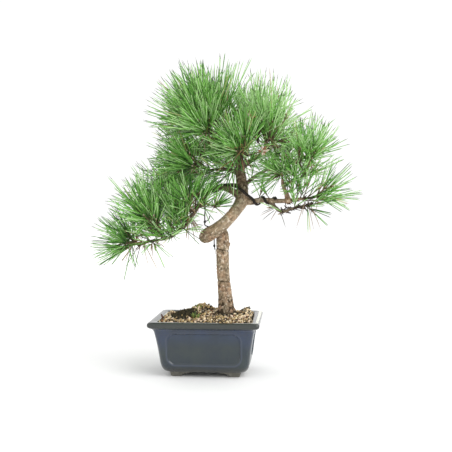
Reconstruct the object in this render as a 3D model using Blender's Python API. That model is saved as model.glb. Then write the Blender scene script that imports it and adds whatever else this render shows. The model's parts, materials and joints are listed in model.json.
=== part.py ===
"""Japanese black pine bonsai in a glazed rectangular pot, in metres, +Z up.

The pot stands on four feet at Z = 0, and its middle is the modelling origin. One empty
carries everything and moves it so that the whole plant is centred over the origin.
"""

import math
import random

import bmesh
import bpy
from mathutils import Matrix, Vector
from mathutils.kdtree import KDTree

# Shared clearances
SEAT_GAP = 0.0003
MASS_MARGIN = 0.0006
NEARLY_ZERO = 1e-9

# Pot: a deep rectangular pot with a lip, recessed panels and four bracket feet
LIP_LENGTH = 0.205
LIP_WIDTH = 0.158
POT_HEIGHT = 0.105
UNDERSIDE_Z = 0.0085
FLOOR_Z = 0.0185
BODY_TOP_Z = 0.0915
CORNER_RADIUS = 0.006
CORNER_GROWTH = 0.35
CORNER_STEPS = 2
PANEL_DEPTH = 0.0022
PANEL_CUT_IN = 0.034
PANEL_CUT_OUT = 0.010
PANEL_BOTTOM_Z = 0.0235
PANEL_TOP_Z = 0.084
PANEL_RADIUS = 0.016
PANEL_LONG = 0.136
PANEL_SHORT = 0.092
FOOT_INSET = 0.0385
FOOT_SIZE = 0.0205
FOOT_FLARE = 0.021
FOOT_FLARE_ACROSS = 0.0126
FOOT_DRAFT = 0.2
FOOT_RADIUS = 0.003
# Each pair is a height and the share of the foot's flare reached there
FOOT_OGEE = (
    (0.0, 0.0),
    (0.0018, 0.01),
    (0.0038, 0.10),
    (0.0056, 0.34),
    (0.0070, 0.72),
    (0.0090, 1.0),
    (0.0115, 1.0),
)

# Each pair is how far the wall stands in from the lip's edge, and its height
BODY_PROFILE = (
    (0.0370, UNDERSIDE_Z),
    (0.0310, 0.0122),
    (0.0265, 0.0172),
    (0.0228, 0.0245),
    (0.0205, 0.0330),
    (0.0178, 0.0510),
    (0.0158, 0.0680),
    (0.0140, 0.0840),
    (0.0132, BODY_TOP_Z),
)
LIP_PROFILE = (
    (0.0048, 0.0935),
    (0.0014, 0.0952),
    (0.0000, 0.0985),
    (0.0006, 0.1022),
    (0.0030, 0.1045),
    (0.0060, POT_HEIGHT),
)
INNER_PROFILE = (
    (0.0400, FLOOR_Z),
    (0.0340, 0.0200),
    (0.0275, 0.0300),
    (0.0240, 0.0500),
    (0.0210, 0.0860),
    (0.0175, 0.0960),
    (0.0165, 0.1025),
    (0.0145, 0.1046),
    (0.0135, 0.1080),
)

# Soil: fills the pot, with mounds of gravel and a flat seat under the trunk
SOIL_TOP_Z = 0.104
SOIL_EDGE_Z = 0.0975
SOIL_EDGE_INSET = 0.0179
TRUNK_SEAT_Z = 0.110
SEAT_RADIUS = 0.0235
SOIL_SIDES = 28
SOIL_RINGS = 7
# Shares of the way from the pot's edge to the seat: the rise, and the levelling again
SOIL_RISE_SHARE = 0.25
SOIL_LEVEL_SHARE = 0.75
# Each mound is its middle, its height and its reach along X and Y
MOUNDS = (
    (0.036, 0.000, 0.0062, 0.045, 0.040),
    (-0.014, 0.026, 0.0180, 0.026, 0.022),
    (-0.043, -0.010, 0.0135, 0.018, 0.016),
    (0.076, 0.004, 0.0110, 0.013, 0.016),
)

# Limbs: each route point is X, Y, Z and the limb's diameter there
TRUNK_ROUTE = (
    (0.0363, 0.000, TRUNK_SEAT_Z, 0.0310),
    (0.0349, 0.000, 0.1247, 0.0285),
    (0.0334, 0.000, 0.1500, 0.0256),
    (0.0302, 0.000, 0.1870, 0.0238),
    (0.0293, 0.000, 0.2270, 0.0231),
    (0.0298, 0.001, 0.2465, 0.0239),
    (0.0267, 0.008, 0.2632, 0.0229),
    (0.0122, 0.018, 0.2676, 0.0231),
    (-0.0004, 0.010, 0.2603, 0.0245),
    (-0.0005, -0.005, 0.2576, 0.0250),
    (0.0123, -0.016, 0.2654, 0.0247),
    (0.0278, -0.019, 0.2767, 0.0231),
    (0.0436, -0.017, 0.2915, 0.0213),
    (0.0574, -0.013, 0.3082, 0.0213),
    (0.0665, -0.008, 0.3249, 0.0236),
    (0.0678, -0.004, 0.3427, 0.0222),
    (0.0661, 0.000, 0.3616, 0.0198),
    (0.0623, 0.003, 0.4012, 0.0151),
    (0.0690, 0.013, 0.4310, 0.0090),
)
CURVE_STEPS = 20
FLARE = 0.14
FLARE_HEIGHT = 0.013
FLARE_RINGS = 8
FLARE_LOBES = 5
FLARE_LOBE_DEPTH = 0.28
FLARE_LOBE_TURN = 0.6

BOUGH_ROUTES = {
    "bough_left_root": (
        (0.0636, -0.006, 0.3334, 0.0131),
        (0.0470, -0.010, 0.3438, 0.0112),
        (0.0306, -0.015, 0.3488, 0.0097),
        (0.0143, -0.020, 0.3467, 0.0089),
        (-0.0003, -0.024, 0.3337, 0.0082),
    ),
    "bough_left_end": (
        (-0.0003, -0.024, 0.3337, 0.0082),
        (-0.0132, -0.027, 0.3134, 0.0074),
        (-0.0279, -0.030, 0.2912, 0.0067),
        (-0.0464, -0.033, 0.2709, 0.0059),
        (-0.0685, -0.036, 0.2562, 0.0056),
        (-0.1020, -0.0385, 0.2505, 0.0048),
        (-0.1125, -0.0395, 0.2462, 0.0044),
    ),
    "bough_right": (
        (0.0712, -0.008, 0.3240, 0.0131),
        (0.0863, -0.010, 0.3224, 0.0112),
        (0.1014, -0.014, 0.3251, 0.0097),
        (0.1202, -0.018, 0.3250, 0.0089),
        (0.1350, -0.020, 0.3236, 0.0085),
        (0.1570, -0.022, 0.3244, 0.0074),
        (0.1753, -0.024, 0.3271, 0.0059),
        (0.1885, -0.0255, 0.3275, 0.0050),
    ),
    "bough_right_low": (
        (0.1200, -0.018, 0.3240, 0.0068),
        (0.1300, -0.0195, 0.3120, 0.0064),
        (0.1423, -0.021, 0.3040, 0.0060),
        (0.1600, -0.023, 0.3092, 0.0052),
        (0.1780, -0.025, 0.3135, 0.0044),
        (0.1930, -0.027, 0.3165, 0.0036),
    ),
    "bough_right_rise": (
        (0.1540, -0.022, 0.3240, 0.0086),
        (0.1500, -0.022, 0.3382, 0.0078),
        (0.1443, -0.022, 0.3530, 0.0066),
        (0.1434, -0.022, 0.3640, 0.0058),
    ),
    "bough_right_upper": (
        (0.1450, -0.022, 0.3500, 0.0056),
        (0.1560, -0.0225, 0.3585, 0.0052),
        (0.1700, -0.0225, 0.3620, 0.0048),
        (0.1780, -0.022, 0.3650, 0.0045),
    ),
    "bough_crown_left": (
        (0.0632, 0.003, 0.3950, 0.0100),
        (0.0500, -0.004, 0.4130, 0.0088),
        (0.0390, -0.010, 0.4290, 0.0074),
        (0.0310, -0.0132, 0.4375, 0.0062),
    ),
    "bough_crown_right": (
        (0.0650, 0.001, 0.3860, 0.0098),
        (0.0850, -0.0075, 0.4000, 0.0082),
        (0.1020, -0.015, 0.4100, 0.0062),
    ),
    "bough_crown_front": (
        (0.0645, 0.000, 0.3770, 0.0084),
        (0.0710, -0.016, 0.3870, 0.0070),
        (0.0755, -0.031, 0.3990, 0.0056),
    ),
    "bough_crown_back": (
        (0.0640, 0.002, 0.3800, 0.0084),
        (0.0545, 0.024, 0.3970, 0.0070),
        (0.0455, 0.0415, 0.4105, 0.0056),
    ),
    "bough_mid_left": (
        (0.0650, 0.001, 0.3740, 0.0088),
        (0.0440, -0.003, 0.3820, 0.0076),
        (0.0280, -0.004, 0.3840, 0.0064),
        (0.0150, -0.0048, 0.3836, 0.0056),
    ),
    "bough_right_back": (
        (0.0670, 0.002, 0.3500, 0.0086),
        (0.0920, 0.027, 0.3720, 0.0070),
        (0.1200, 0.047, 0.3880, 0.0054),
    ),
    "bough_left_back": (
        (0.0660, 0.001, 0.3520, 0.0090),
        (0.0300, 0.025, 0.3540, 0.0076),
        (-0.0100, 0.041, 0.3440, 0.0064),
        (-0.0400, 0.0500, 0.3310, 0.0054),
    ),
}
# The limb that each bough grows from, cut round so that the two only meet
BOUGH_PARENTS = {
    "bough_left_end": "bough_left_root",
    "bough_right_low": "bough_right",
    "bough_right_rise": "bough_right",
    "bough_right_upper": "bough_right_rise",
}
TRUNK_SIDES = 10
BOUGH_SIDES = 6
TRUNK_STEP = 0.0092
BOUGH_STEP = 0.012

# Wires
WIRE_RADIUS = 0.0016
WIRE_CLEAR = 0.0007
WIRE_STEP = 0.0060
WIRE_SIDES = 6
# Each winding has its number of points, the shares of the bough that it runs
# between, and the angles round the bough that it turns through
LEFT_WINDING = (13, 0.86, 0.40, -300.0, 8.0)
RIGHT_WINDING = (19, 0.16, 0.52, 60.0, 780.0)
# Where the wire crosses the trunk's front: points, first place, last place, angles
CROSSING_POINTS = 4
CROSSING_START = (0.0670, -0.002, 0.3500)
CROSSING_END = (0.0668, -0.007, 0.3300)
CROSSING_ANGLES = (212.0, 305.0)
CROSSING_CLEAR = 0.0012
TIE_RADIUS = 0.0011
TIE_START = 0.10
TIE_SIDE = (0.7, -0.5, 0.0)
TIE_ROUTE = (
    (-0.0005, -0.0200, 0.3150),
    (-0.0025, -0.0120, 0.3000),
    (-0.0035, -0.0060, 0.2870),
    (-0.0035, -0.0030, 0.2790),
    (0.0035, 0.0000, 0.2750),
    (0.0110, 0.0010, 0.2705),
    (0.0140, 0.0010, 0.2620),
    (0.0135, 0.0010, 0.2500),
    (0.0135, 0.0005, 0.2420),
    (0.0150, 0.0000, 0.2320),
    (0.0158, 0.0000, 0.2230),
)

# Needles and shoots
GOLDEN_ANGLE = math.pi * (3.0 - math.sqrt(5.0))
DOME_FIRST = 0.35
DOME_LAST = 0.30
STEM_RADIUS = 0.0024
STEM_NECK_RADIUS = 0.00216
STEM_KNEE = 0.0015
STEM_OVERLAP = 0.0008
TWIG_RADIUS = 0.0019
TWIG_OVERLAP = 0.002
HUB_RADIUS = 0.0036
HUB_SINK = 0.5
CORE_ROOT_RADIUS = 0.0019
CORE_TIP_RADIUS = 0.0012
CORE_BANDS = 4
BARE_BANDS = 1
NEEDLE_ROOT_ANGLE = math.radians(50.0)
NEEDLE_TIP_ANGLE = math.radians(16.0)
NEEDLE_THICKNESS = 0.003
NEEDLE_TIP_RADIUS = 0.0002
NEEDLE_SHARE = 0.78
NEEDLE_CLEAR = 0.0004
NEEDLE_WOBBLE = 0.05
NEEDLE_LENGTHS = (0.86, 1.0)
NEEDLE_TRIM = 0.88
SHORTEST_NEEDLE = 0.5
FACING_PULL = 0.6
SHOOT_LENGTHS = (0.85, 1.1)
SHOOT_TRIM = 0.85
SHORTEST_SHOOT = 0.3
SHOOT_CLEAR = 0.0004
SHOOT_FREE = 0.012
CENTRE_SHARE = 0.35
CORE_MARGIN = 0.0045
BALL_STEP = 0.003
LIMB_BULGE = 1.12
LIMB_CLEAR = 0.0012

# Each mass of needles: where its whorl stands, which way it faces, how far it may
# reach, how many whorls its stem forks into and at what length and spread, how many
# shoots each whorl has and over what spread, and the lengths of shoot and needle
MASSES = {
    "needles_crown_left": dict(
        whorl=(0.0256, -0.0150, 0.4434), facing=(-0.60, -0.10, 0.78), reach=0.166,
        forks=4, fork=0.024, fork_spread=56, shoots=3, spread=38, shoot=0.056, needle=0.088,
    ),
    "needles_crown_top": dict(
        whorl=(0.0700, 0.0165, 0.4400), facing=(-0.04, 0.16, 0.98), reach=0.140,
        forks=2, fork=0.014, fork_spread=34, shoots=4, spread=36, shoot=0.046, needle=0.084,
    ),
    "needles_crown_right": dict(
        whorl=(0.1094, -0.0180, 0.4142), facing=(0.30, -0.06, 0.95), reach=0.158,
        forks=4, fork=0.022, fork_spread=50, shoots=3, spread=36, shoot=0.054, needle=0.088,
    ),
    "needles_crown_front": dict(
        whorl=(0.0775, -0.0380, 0.4065), facing=(-0.24, -0.82, 0.50), reach=0.112,
        forks=2, fork=0.010, fork_spread=40, shoots=4, spread=52, shoot=0.034, needle=0.078,
    ),
    "needles_crown_back": dict(
        whorl=(0.0421, 0.0480, 0.4157), facing=(-0.38, 0.78, 0.46), reach=0.136,
        forks=2, fork=0.018, fork_spread=45, shoots=4, spread=46, shoot=0.044, needle=0.084,
    ),
    "needles_mid_left": dict(
        whorl=(0.0060, -0.0050, 0.3830), facing=(-0.90, -0.08, 0.30), reach=0.150,
        forks=4, fork=0.036, fork_spread=66, shoots=3, spread=46, shoot=0.036, needle=0.082,
    ),
    "needles_left_inner": dict(
        whorl=(-0.0250, -0.0400, 0.3060), facing=(0.20, -0.35, 0.90), reach=0.098,
        forks=2, fork=0.012, fork_spread=50, shoots=4, spread=46, shoot=0.026, needle=0.070,
    ),
    "needles_left_bud": dict(
        whorl=(0.0180, -0.0300, 0.3138), facing=(0.62, -0.35, 0.40), reach=0.046,
        forks=1, fork=0.000, fork_spread=0, shoots=4, spread=50, shoot=0.009, needle=0.038,
    ),
    "needles_left_middle": dict(
        whorl=(-0.0510, -0.0340, 0.2830), facing=(-0.25, -0.10, 0.96), reach=0.112,
        forks=2, fork=0.012, fork_spread=40, shoots=4, spread=40, shoot=0.034, needle=0.078,
    ),
    "needles_left_lower": dict(
        whorl=(-0.0847, -0.0370, 0.2640), facing=(-0.34, -0.10, 0.93), reach=0.150,
        forks=3, fork=0.020, fork_spread=52, shoots=3, spread=38, shoot=0.046, needle=0.086,
    ),
    "needles_left_tip": dict(
        whorl=(-0.1226, -0.0400, 0.2425), facing=(-0.93, -0.05, 0.36), reach=0.100,
        forks=2, fork=0.010, fork_spread=50, shoots=4, spread=52, shoot=0.026, needle=0.074,
    ),
    "needles_left_back": dict(
        whorl=(-0.0490, 0.0545, 0.3305), facing=(-0.46, 0.60, 0.66), reach=0.136,
        forks=2, fork=0.020, fork_spread=50, shoots=5, spread=44, shoot=0.040, needle=0.084,
    ),
    "needles_right_inner": dict(
        whorl=(0.1428, -0.0220, 0.3732), facing=(-0.75, -0.30, 0.45), reach=0.074,
        forks=1, fork=0.000, fork_spread=0, shoots=6, spread=62, shoot=0.022, needle=0.064,
    ),
    "needles_right_upper": dict(
        whorl=(0.1850, -0.0220, 0.3720), facing=(0.15, -0.08, 0.98), reach=0.128,
        forks=3, fork=0.022, fork_spread=46, shoots=3, spread=44, shoot=0.038, needle=0.078,
    ),
    "needles_right_tip": dict(
        whorl=(0.1989, -0.0260, 0.3306), facing=(0.88, -0.08, 0.44), reach=0.100,
        forks=2, fork=0.010, fork_spread=50, shoots=4, spread=52, shoot=0.026, needle=0.074,
    ),
    "needles_right_back": dict(
        whorl=(0.1277, 0.0520, 0.3916), facing=(0.26, 0.76, 0.58), reach=0.132,
        forks=2, fork=0.018, fork_spread=45, shoots=4, spread=46, shoot=0.042, needle=0.082,
    ),
}
# The limb that carries each mass: at its tip, or from its side where a place is given
MASS_CARRIERS = {
    "needles_crown_left": ("bough_crown_left", None),
    "needles_crown_top": ("trunk", None),
    "needles_crown_right": ("bough_crown_right", None),
    "needles_crown_front": ("bough_crown_front", None),
    "needles_crown_back": ("bough_crown_back", None),
    "needles_mid_left": ("bough_mid_left", None),
    "needles_left_inner": ("bough_left_end", (-0.0190, -0.028, 0.3040)),
    "needles_left_bud": ("bough_left_end", (-0.0085, -0.026, 0.3210)),
    "needles_left_middle": ("bough_left_end", (-0.0480, -0.033, 0.2700)),
    "needles_left_lower": ("bough_left_end", (-0.0820, -0.037, 0.2545)),
    "needles_left_tip": ("bough_left_end", None),
    "needles_left_back": ("bough_left_back", None),
    "needles_right_inner": ("bough_right_rise", None),
    "needles_right_upper": ("bough_right_upper", None),
    "needles_right_tip": ("bough_right", None),
    "needles_right_back": ("bough_right_back", None),
}

# Finishes: base colour, roughness and metallic value
FINISHES = {
    "glaze": ((0.050, 0.066, 0.092), 0.16, 0.0),
    "gravel": ((0.330, 0.262, 0.185), 0.92, 0.0),
    "bark": ((0.300, 0.215, 0.145), 0.88, 0.0),
    "bough_bark": ((0.175, 0.130, 0.095), 0.88, 0.0),
    "wire_coat": ((0.030, 0.026, 0.023), 0.45, 0.6),
    "tie_wire": ((0.045, 0.040, 0.036), 0.40, 0.7),
    "needle_green": ((0.085, 0.230, 0.050), 0.55, 0.0),
}


def clear_scene():
    """Removes every object of the scene."""
    for item in list(bpy.data.objects):
        bpy.data.objects.remove(item, do_unlink=True)


def finish(name):
    """The named finish as a material, made once."""
    found = bpy.data.materials.get(name)
    if found:
        return found
    colour, roughness, metallic = FINISHES[name]
    material = bpy.data.materials.new(name)
    material.use_nodes = True
    shader = material.node_tree.nodes["Principled BSDF"]
    shader.inputs["Base Color"].default_value = (*colour, 1.0)
    shader.inputs["Roughness"].default_value = roughness
    shader.inputs["Metallic"].default_value = metallic
    return material


def add_object(name, shape, finish_name=None):
    """Puts a bmesh in the scene as an object and frees the bmesh."""
    mesh = bpy.data.meshes.new(name)
    shape.to_mesh(mesh)
    shape.free()
    if finish_name:
        mesh.materials.append(finish(finish_name))
    item = bpy.data.objects.new(name, mesh)
    bpy.context.scene.collection.objects.link(item)
    return item


def remove_object(item):
    """Removes an object and its mesh."""
    mesh = item.data
    bpy.data.objects.remove(item, do_unlink=True)
    bpy.data.meshes.remove(mesh)


def combine(target, pieces, operation):
    """Joins pieces to the target, or cuts them from it, and removes them."""
    group = bpy.data.collections.new("tools")
    for piece in pieces:
        group.objects.link(piece)
    modifier = target.modifiers.new("Combine", "BOOLEAN")
    modifier.operation = operation
    modifier.solver = "EXACT"
    modifier.operand_type = "COLLECTION"
    modifier.collection = group
    bpy.context.view_layer.update()
    graph = bpy.context.evaluated_depsgraph_get()
    result = bpy.data.meshes.new_from_object(target.evaluated_get(graph))
    old = target.data
    target.modifiers.clear()
    target.data = result
    bpy.data.meshes.remove(old)
    for piece in list(pieces):
        remove_object(piece)
    bpy.data.collections.remove(group)
    result.name = target.name
    return target


def keep_main_body(item):
    """Keeps the largest closed body: sealed hollows are filled and loose scraps dropped."""
    shape = bmesh.new()
    shape.from_mesh(item.data)
    bmesh.ops.triangulate(shape, faces=shape.faces[:])
    seen = set()
    bodies = []
    for start in shape.faces:
        if start in seen:
            continue
        body = []
        queue = [start]
        seen.add(start)
        while queue:
            face = queue.pop()
            body.append(face)
            for edge in face.edges:
                if len(edge.link_faces) != 2:
                    continue
                for other in edge.link_faces:
                    if other not in seen:
                        seen.add(other)
                        queue.append(other)
        bodies.append(body)

    def volume(body):
        total = 0.0
        for face in body:
            a, b, c = (corner.co for corner in face.verts)
            total += a.dot(b.cross(c)) / 6.0
        return total

    main = max(bodies, key=volume)
    for body in bodies:
        if body is not main:
            bmesh.ops.delete(shape, geom=body, context="FACES")
    loose = [point for point in shape.verts if not point.link_faces]
    bmesh.ops.delete(shape, geom=loose, context="VERTS")
    shape.to_mesh(item.data)
    shape.free()
    return item


def shade(item, angle=40.0):
    """Shades the object smooth, with edges over the angle kept sharp."""
    item.data.shade_smooth()
    item.data.set_sharp_from_angle(angle=math.radians(angle))


def lerp(a, b, t):
    """The value a share t of the way from a to b."""
    return a + (b - a) * t


def skin_rings(rings, cap_start=True, cap_end=True):
    """A closed bmesh through rings of as many points each, in order."""
    shape = bmesh.new()
    made = [[shape.verts.new(point) for point in ring] for ring in rings]
    count = len(made[0])
    for low, high in zip(made, made[1:]):
        for i in range(count):
            j = (i + 1) % count
            shape.faces.new((low[i], low[j], high[j], high[i]))
    if cap_start:
        shape.faces.new(list(reversed(made[0])))
    if cap_end:
        shape.faces.new(made[-1])
    bmesh.ops.recalc_face_normals(shape, faces=shape.faces[:])
    return shape


def rounded_rectangle(length, width, radius, steps=CORNER_STEPS):
    """Points of a rectangle with round corners, anticlockwise in its plane."""
    points = []
    for quarter in range(4):
        angle = quarter * math.pi / 2.0
        side_x = 1.0 if quarter in (0, 3) else -1.0
        side_y = 1.0 if quarter in (0, 1) else -1.0
        middle_x = side_x * (length / 2.0 - radius)
        middle_y = side_y * (width / 2.0 - radius)
        for step in range(steps + 1):
            turn = angle + step / steps * math.pi / 2.0
            points.append((middle_x + radius * math.cos(turn), middle_y + radius * math.sin(turn)))
    return points


def pot_ring(inset, height):
    """The pot's outline at a height, a given distance in from the lip's edge."""
    radius = CORNER_RADIUS + CORNER_GROWTH * inset
    outline = rounded_rectangle(LIP_LENGTH - 2.0 * inset, LIP_WIDTH - 2.0 * inset, radius)
    return [Vector((x, y, height)) for x, y in outline]


def panel_cutter(name, size, turn, across):
    """A deep prism with the outline of a recessed panel, facing one side of the pot."""
    height = PANEL_TOP_Z - PANEL_BOTTOM_Z
    middle = (PANEL_TOP_Z + PANEL_BOTTOM_Z) / 2.0
    outline = rounded_rectangle(size, height, PANEL_RADIUS)
    near = across / 2.0 - PANEL_CUT_IN
    far = across / 2.0 + PANEL_CUT_OUT
    rings = [[Vector((x, depth, middle + z)) for x, z in outline] for depth in (near, far)]
    cutter = add_object(name, skin_rings(rings))
    cutter.data.transform(Matrix.Rotation(turn, 4, "Z"))
    return cutter


def pot_foot(name, side_x, side_y):
    """One bracket foot, square below and flared in an ogee towards the pot's middle."""
    rings = []
    for height, flare in FOOT_OGEE:
        outer = FOOT_INSET - FOOT_DRAFT * height
        inner = FOOT_INSET + FOOT_SIZE
        outer_x = LIP_LENGTH / 2.0 - outer
        inner_x = LIP_LENGTH / 2.0 - inner - FOOT_FLARE * flare
        outer_y = LIP_WIDTH / 2.0 - outer
        inner_y = LIP_WIDTH / 2.0 - inner - FOOT_FLARE_ACROSS * flare
        middle = Vector(((outer_x + inner_x) / 2.0, (outer_y + inner_y) / 2.0, height))
        outline = rounded_rectangle(outer_x - inner_x, outer_y - inner_y, FOOT_RADIUS)
        rings.append([middle + Vector((x, y, 0.0)) for x, y in outline])
    foot = add_object(name, skin_rings(rings))
    foot.data.transform(Matrix.Diagonal((side_x, side_y, 1.0, 1.0)))
    if side_x * side_y < 0:
        foot.data.flip_normals()
    return foot


def build_pot():
    """The glazed pot: body and lip, four recessed panels, the hollow and the feet."""
    outside = [pot_ring(inset, height) for inset, height in BODY_PROFILE + LIP_PROFILE]
    pot = add_object("pot", skin_rings(outside), "glaze")
    cutters = []
    for turn in (0.0, math.pi):
        cutters.append(panel_cutter("panel_long", PANEL_LONG, turn, LIP_WIDTH))
        cutters.append(panel_cutter("panel_short", PANEL_SHORT, turn + math.pi / 2.0, LIP_LENGTH))
    combine(pot, cutters, "DIFFERENCE")
    core_rings = [pot_ring(inset + PANEL_DEPTH, height) for inset, height in BODY_PROFILE[1:]]
    combine(pot, [add_object("panel_back", skin_rings(core_rings))], "UNION")
    hollow_rings = [pot_ring(inset, height) for inset, height in INNER_PROFILE]
    combine(pot, [add_object("hollow", skin_rings(hollow_rings))], "DIFFERENCE")
    feet = [pot_foot("foot", side_x, side_y) for side_x in (1, -1) for side_y in (1, -1)]
    combine(pot, feet, "UNION")
    keep_main_body(pot)
    shade(pot, 35.0)
    return pot


def soil_height(x, y):
    """The soil's surface: level gravel with a mound for each entry of MOUNDS."""
    height = SOIL_TOP_Z
    for middle_x, middle_y, rise, reach_x, reach_y in MOUNDS:
        away = ((x - middle_x) / reach_x) ** 2 + ((y - middle_y) / reach_y) ** 2
        height += rise * math.exp(-away)
    return height


def build_soil():
    """The soil as one solid that fills the pot, with a flat seat for the trunk."""
    foot = Vector(TRUNK_ROUTE[0][:2])
    walls = [(inset + SEAT_GAP * 1.5, height + SEAT_GAP) for inset, height in INNER_PROFILE[:5]]
    walls.append((SOIL_EDGE_INSET, SOIL_EDGE_Z))
    rings = []
    for inset, height in walls:
        rings.append(ring_by_angle(pot_ring(inset, height), foot, SOIL_SIDES))
    edge = rings[-1]
    seat = []
    for i in range(SOIL_SIDES):
        turn = 2.0 * math.pi * i / SOIL_SIDES
        seat.append(foot + Vector((math.cos(turn), math.sin(turn))) * SEAT_RADIUS)
    seat_z = TRUNK_SEAT_Z - SEAT_GAP
    for step in range(1, SOIL_RINGS):
        share = step / SOIL_RINGS
        ring = []
        for outer, inner in zip(edge, seat):
            x = lerp(outer.x, inner.x, share)
            y = lerp(outer.y, inner.y, share)
            rise = min(1.0, share / SOIL_RISE_SHARE)
            level = max(0.0, (share - SOIL_LEVEL_SHARE) / (1.0 - SOIL_LEVEL_SHARE))
            height = lerp(lerp(SOIL_EDGE_Z, soil_height(x, y), rise), seat_z, level)
            ring.append(Vector((x, y, height)))
        rings.append(ring)
    rings.append([Vector((point.x, point.y, seat_z)) for point in seat])
    soil = add_object("soil", skin_rings(rings), "gravel")
    shade(soil, 60.0)
    return soil


def ring_by_angle(ring, middle, count):
    """The ring's outline met by count rays that leave the middle at even angles."""
    met = []
    for i in range(count):
        turn = 2.0 * math.pi * i / count
        ray = Vector((math.cos(turn), math.sin(turn)))
        best = None
        for a, b in zip(ring, ring[1:] + ring[:1]):
            edge = Vector((b.x - a.x, b.y - a.y))
            start = Vector((a.x - middle.x, a.y - middle.y))
            below = ray.x * edge.y - ray.y * edge.x
            if abs(below) < NEARLY_ZERO:
                continue
            reach = (start.x * edge.y - start.y * edge.x) / below
            place = (start.x * ray.y - start.y * ray.x) / below
            on_edge = -NEARLY_ZERO <= place <= 1.0 + NEARLY_ZERO
            if reach > 0.0 and on_edge and (best is None or reach > best):
                best = reach
        met.append(Vector((middle.x + ray.x * best, middle.y + ray.y * best, ring[0].z)))
    return met


def smooth_route(route, step):
    """Points and radii at an even step along a smooth curve through the route."""
    knots = [Vector(point) for point in route]
    first = 2.0 * knots[0] - knots[1]
    last = 2.0 * knots[-1] - knots[-2]
    knots = [first] + knots + [last]
    dense = []
    for a, b, c, d in zip(knots, knots[1:], knots[2:], knots[3:]):
        bend = 2.0 * a - 5.0 * b + 4.0 * c - d
        twist = 3.0 * b - a - 3.0 * c + d
        for k in range(CURVE_STEPS):
            t = k / CURVE_STEPS
            dense.append(0.5 * (2.0 * b + (c - a) * t + bend * t ** 2 + twist * t ** 3))
    dense.append(knots[-2])
    lengths = [0.0]
    for a, b in zip(dense, dense[1:]):
        lengths.append(lengths[-1] + (b.xyz - a.xyz).length)
    count = max(2, round(lengths[-1] / step))
    evened = []
    i = 0
    for k in range(count + 1):
        wanted = lengths[-1] * k / count
        while i < len(lengths) - 2 and lengths[i + 1] < wanted:
            i += 1
        share = (wanted - lengths[i]) / max(NEARLY_ZERO, lengths[i + 1] - lengths[i])
        evened.append(dense[i].lerp(dense[i + 1], min(1.0, share)))
    return evened


class Limb:
    """A tapering round limb along a smooth route, with a frame at each step."""

    def __init__(self, name, route, step):
        self.name = name
        diameters = smooth_route([Vector(point) for point in route], step)
        self.points = [point.xyz for point in diameters]
        self.radii = [point.w / 2.0 for point in diameters]
        self.tangents = self.find_tangents()
        self.sides = self.find_sides()

    def find_tangents(self):
        """The limb's direction at each point."""
        found = []
        last = len(self.points) - 1
        for i in range(last + 1):
            ahead = self.points[min(last, i + 1)]
            behind = self.points[max(0, i - 1)]
            found.append((ahead - behind).normalized())
        return found

    def find_sides(self):
        """A direction across the limb at each point, turned as little as possible along it."""
        side = self.tangents[0].orthogonal().normalized()
        found = [side]
        for before, after in zip(self.tangents, self.tangents[1:]):
            side = before.rotation_difference(after) @ side
            side = (side - after * side.dot(after)).normalized()
            found.append(side)
        return found

    def ring(self, i, sides, extra=0.0, swell=None):
        """The limb's outline at a point, grown by extra and by a swelling over the angle."""
        across = self.sides[i]
        other = self.tangents[i].cross(across)
        points = []
        for k in range(sides):
            turn = 2.0 * math.pi * k / sides
            radius = (self.radii[i] + extra) * (swell(i, turn) if swell else 1.0)
            outward = across * math.cos(turn) + other * math.sin(turn)
            points.append(self.points[i] + outward * radius)
        return points

    def skin(self, sides, extra=0.0, swell=None):
        """The limb as a closed bmesh."""
        rings = [self.ring(i, sides, extra, swell) for i in range(len(self.points))]
        if extra:
            rings[0] = [point - self.tangents[0] * extra for point in rings[0]]
            rings[-1] = [point + self.tangents[-1] * extra for point in rings[-1]]
        return skin_rings(rings)

    def nearest(self, place):
        """The index of the limb's point that lies nearest a place."""
        distances = [(point - place).length for point in self.points]
        return distances.index(min(distances))

    def around(self, share, direction, clear):
        """A point beside the limb, a share of the way along it, on the side of a direction."""
        place = share * (len(self.points) - 1)
        i = min(len(self.points) - 2, int(place))
        t = place - i
        tangent = self.tangents[i].lerp(self.tangents[i + 1], t).normalized()
        flat = (direction - tangent * direction.dot(tangent)).normalized()
        centre = self.points[i].lerp(self.points[i + 1], t)
        return centre + flat * (lerp(self.radii[i], self.radii[i + 1], t) + clear)


def flare_swell(limb):
    """How much the trunk's foot swells into its root flare, over height and angle."""

    def swell(i, turn):
        height = max(0.0, limb.points[i].z - TRUNK_SEAT_Z)
        if i > FLARE_RINGS:
            return 1.0
        wave = FLARE_LOBE_DEPTH * (math.cos(FLARE_LOBES * turn + FLARE_LOBE_TURN) - 1.0)
        return 1.0 + FLARE * (1.0 + wave) * math.exp(-height / FLARE_HEIGHT)

    return swell


def build_trunk(limb):
    """The trunk, from its flat cut at the soil up to the tip inside the foliage."""
    swell = flare_swell(limb)
    rings = [limb.ring(i, TRUNK_SIDES, 0.0, swell) for i in range(len(limb.points))]
    for point in rings[0]:
        point.z = TRUNK_SEAT_Z
    trunk = add_object("trunk", skin_rings(rings), "bark")
    shade(trunk, 60.0)
    return trunk


def build_bough(limb, parent):
    """A bough, cut round the limb that it grows from so that a hair's gap is left."""
    bough = add_object(limb.name, limb.skin(BOUGH_SIDES), "bough_bark")
    sides = TRUNK_SIDES if parent.name == "trunk" else BOUGH_SIDES
    cutter = add_object("cutter", parent.skin(sides, SEAT_GAP))
    combine(bough, [cutter], "DIFFERENCE")
    keep_main_body(bough)
    shade(bough, 60.0)
    return bough


def tube(name, points, radius, finish_name):
    """A round wire along a smooth curve through the points."""
    route = [(*point, 2.0 * radius) for point in points]
    limb = Limb(name, route, WIRE_STEP)
    wire = add_object(name, limb.skin(WIRE_SIDES), finish_name)
    shade(wire, 60.0)
    return wire, limb


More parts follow.
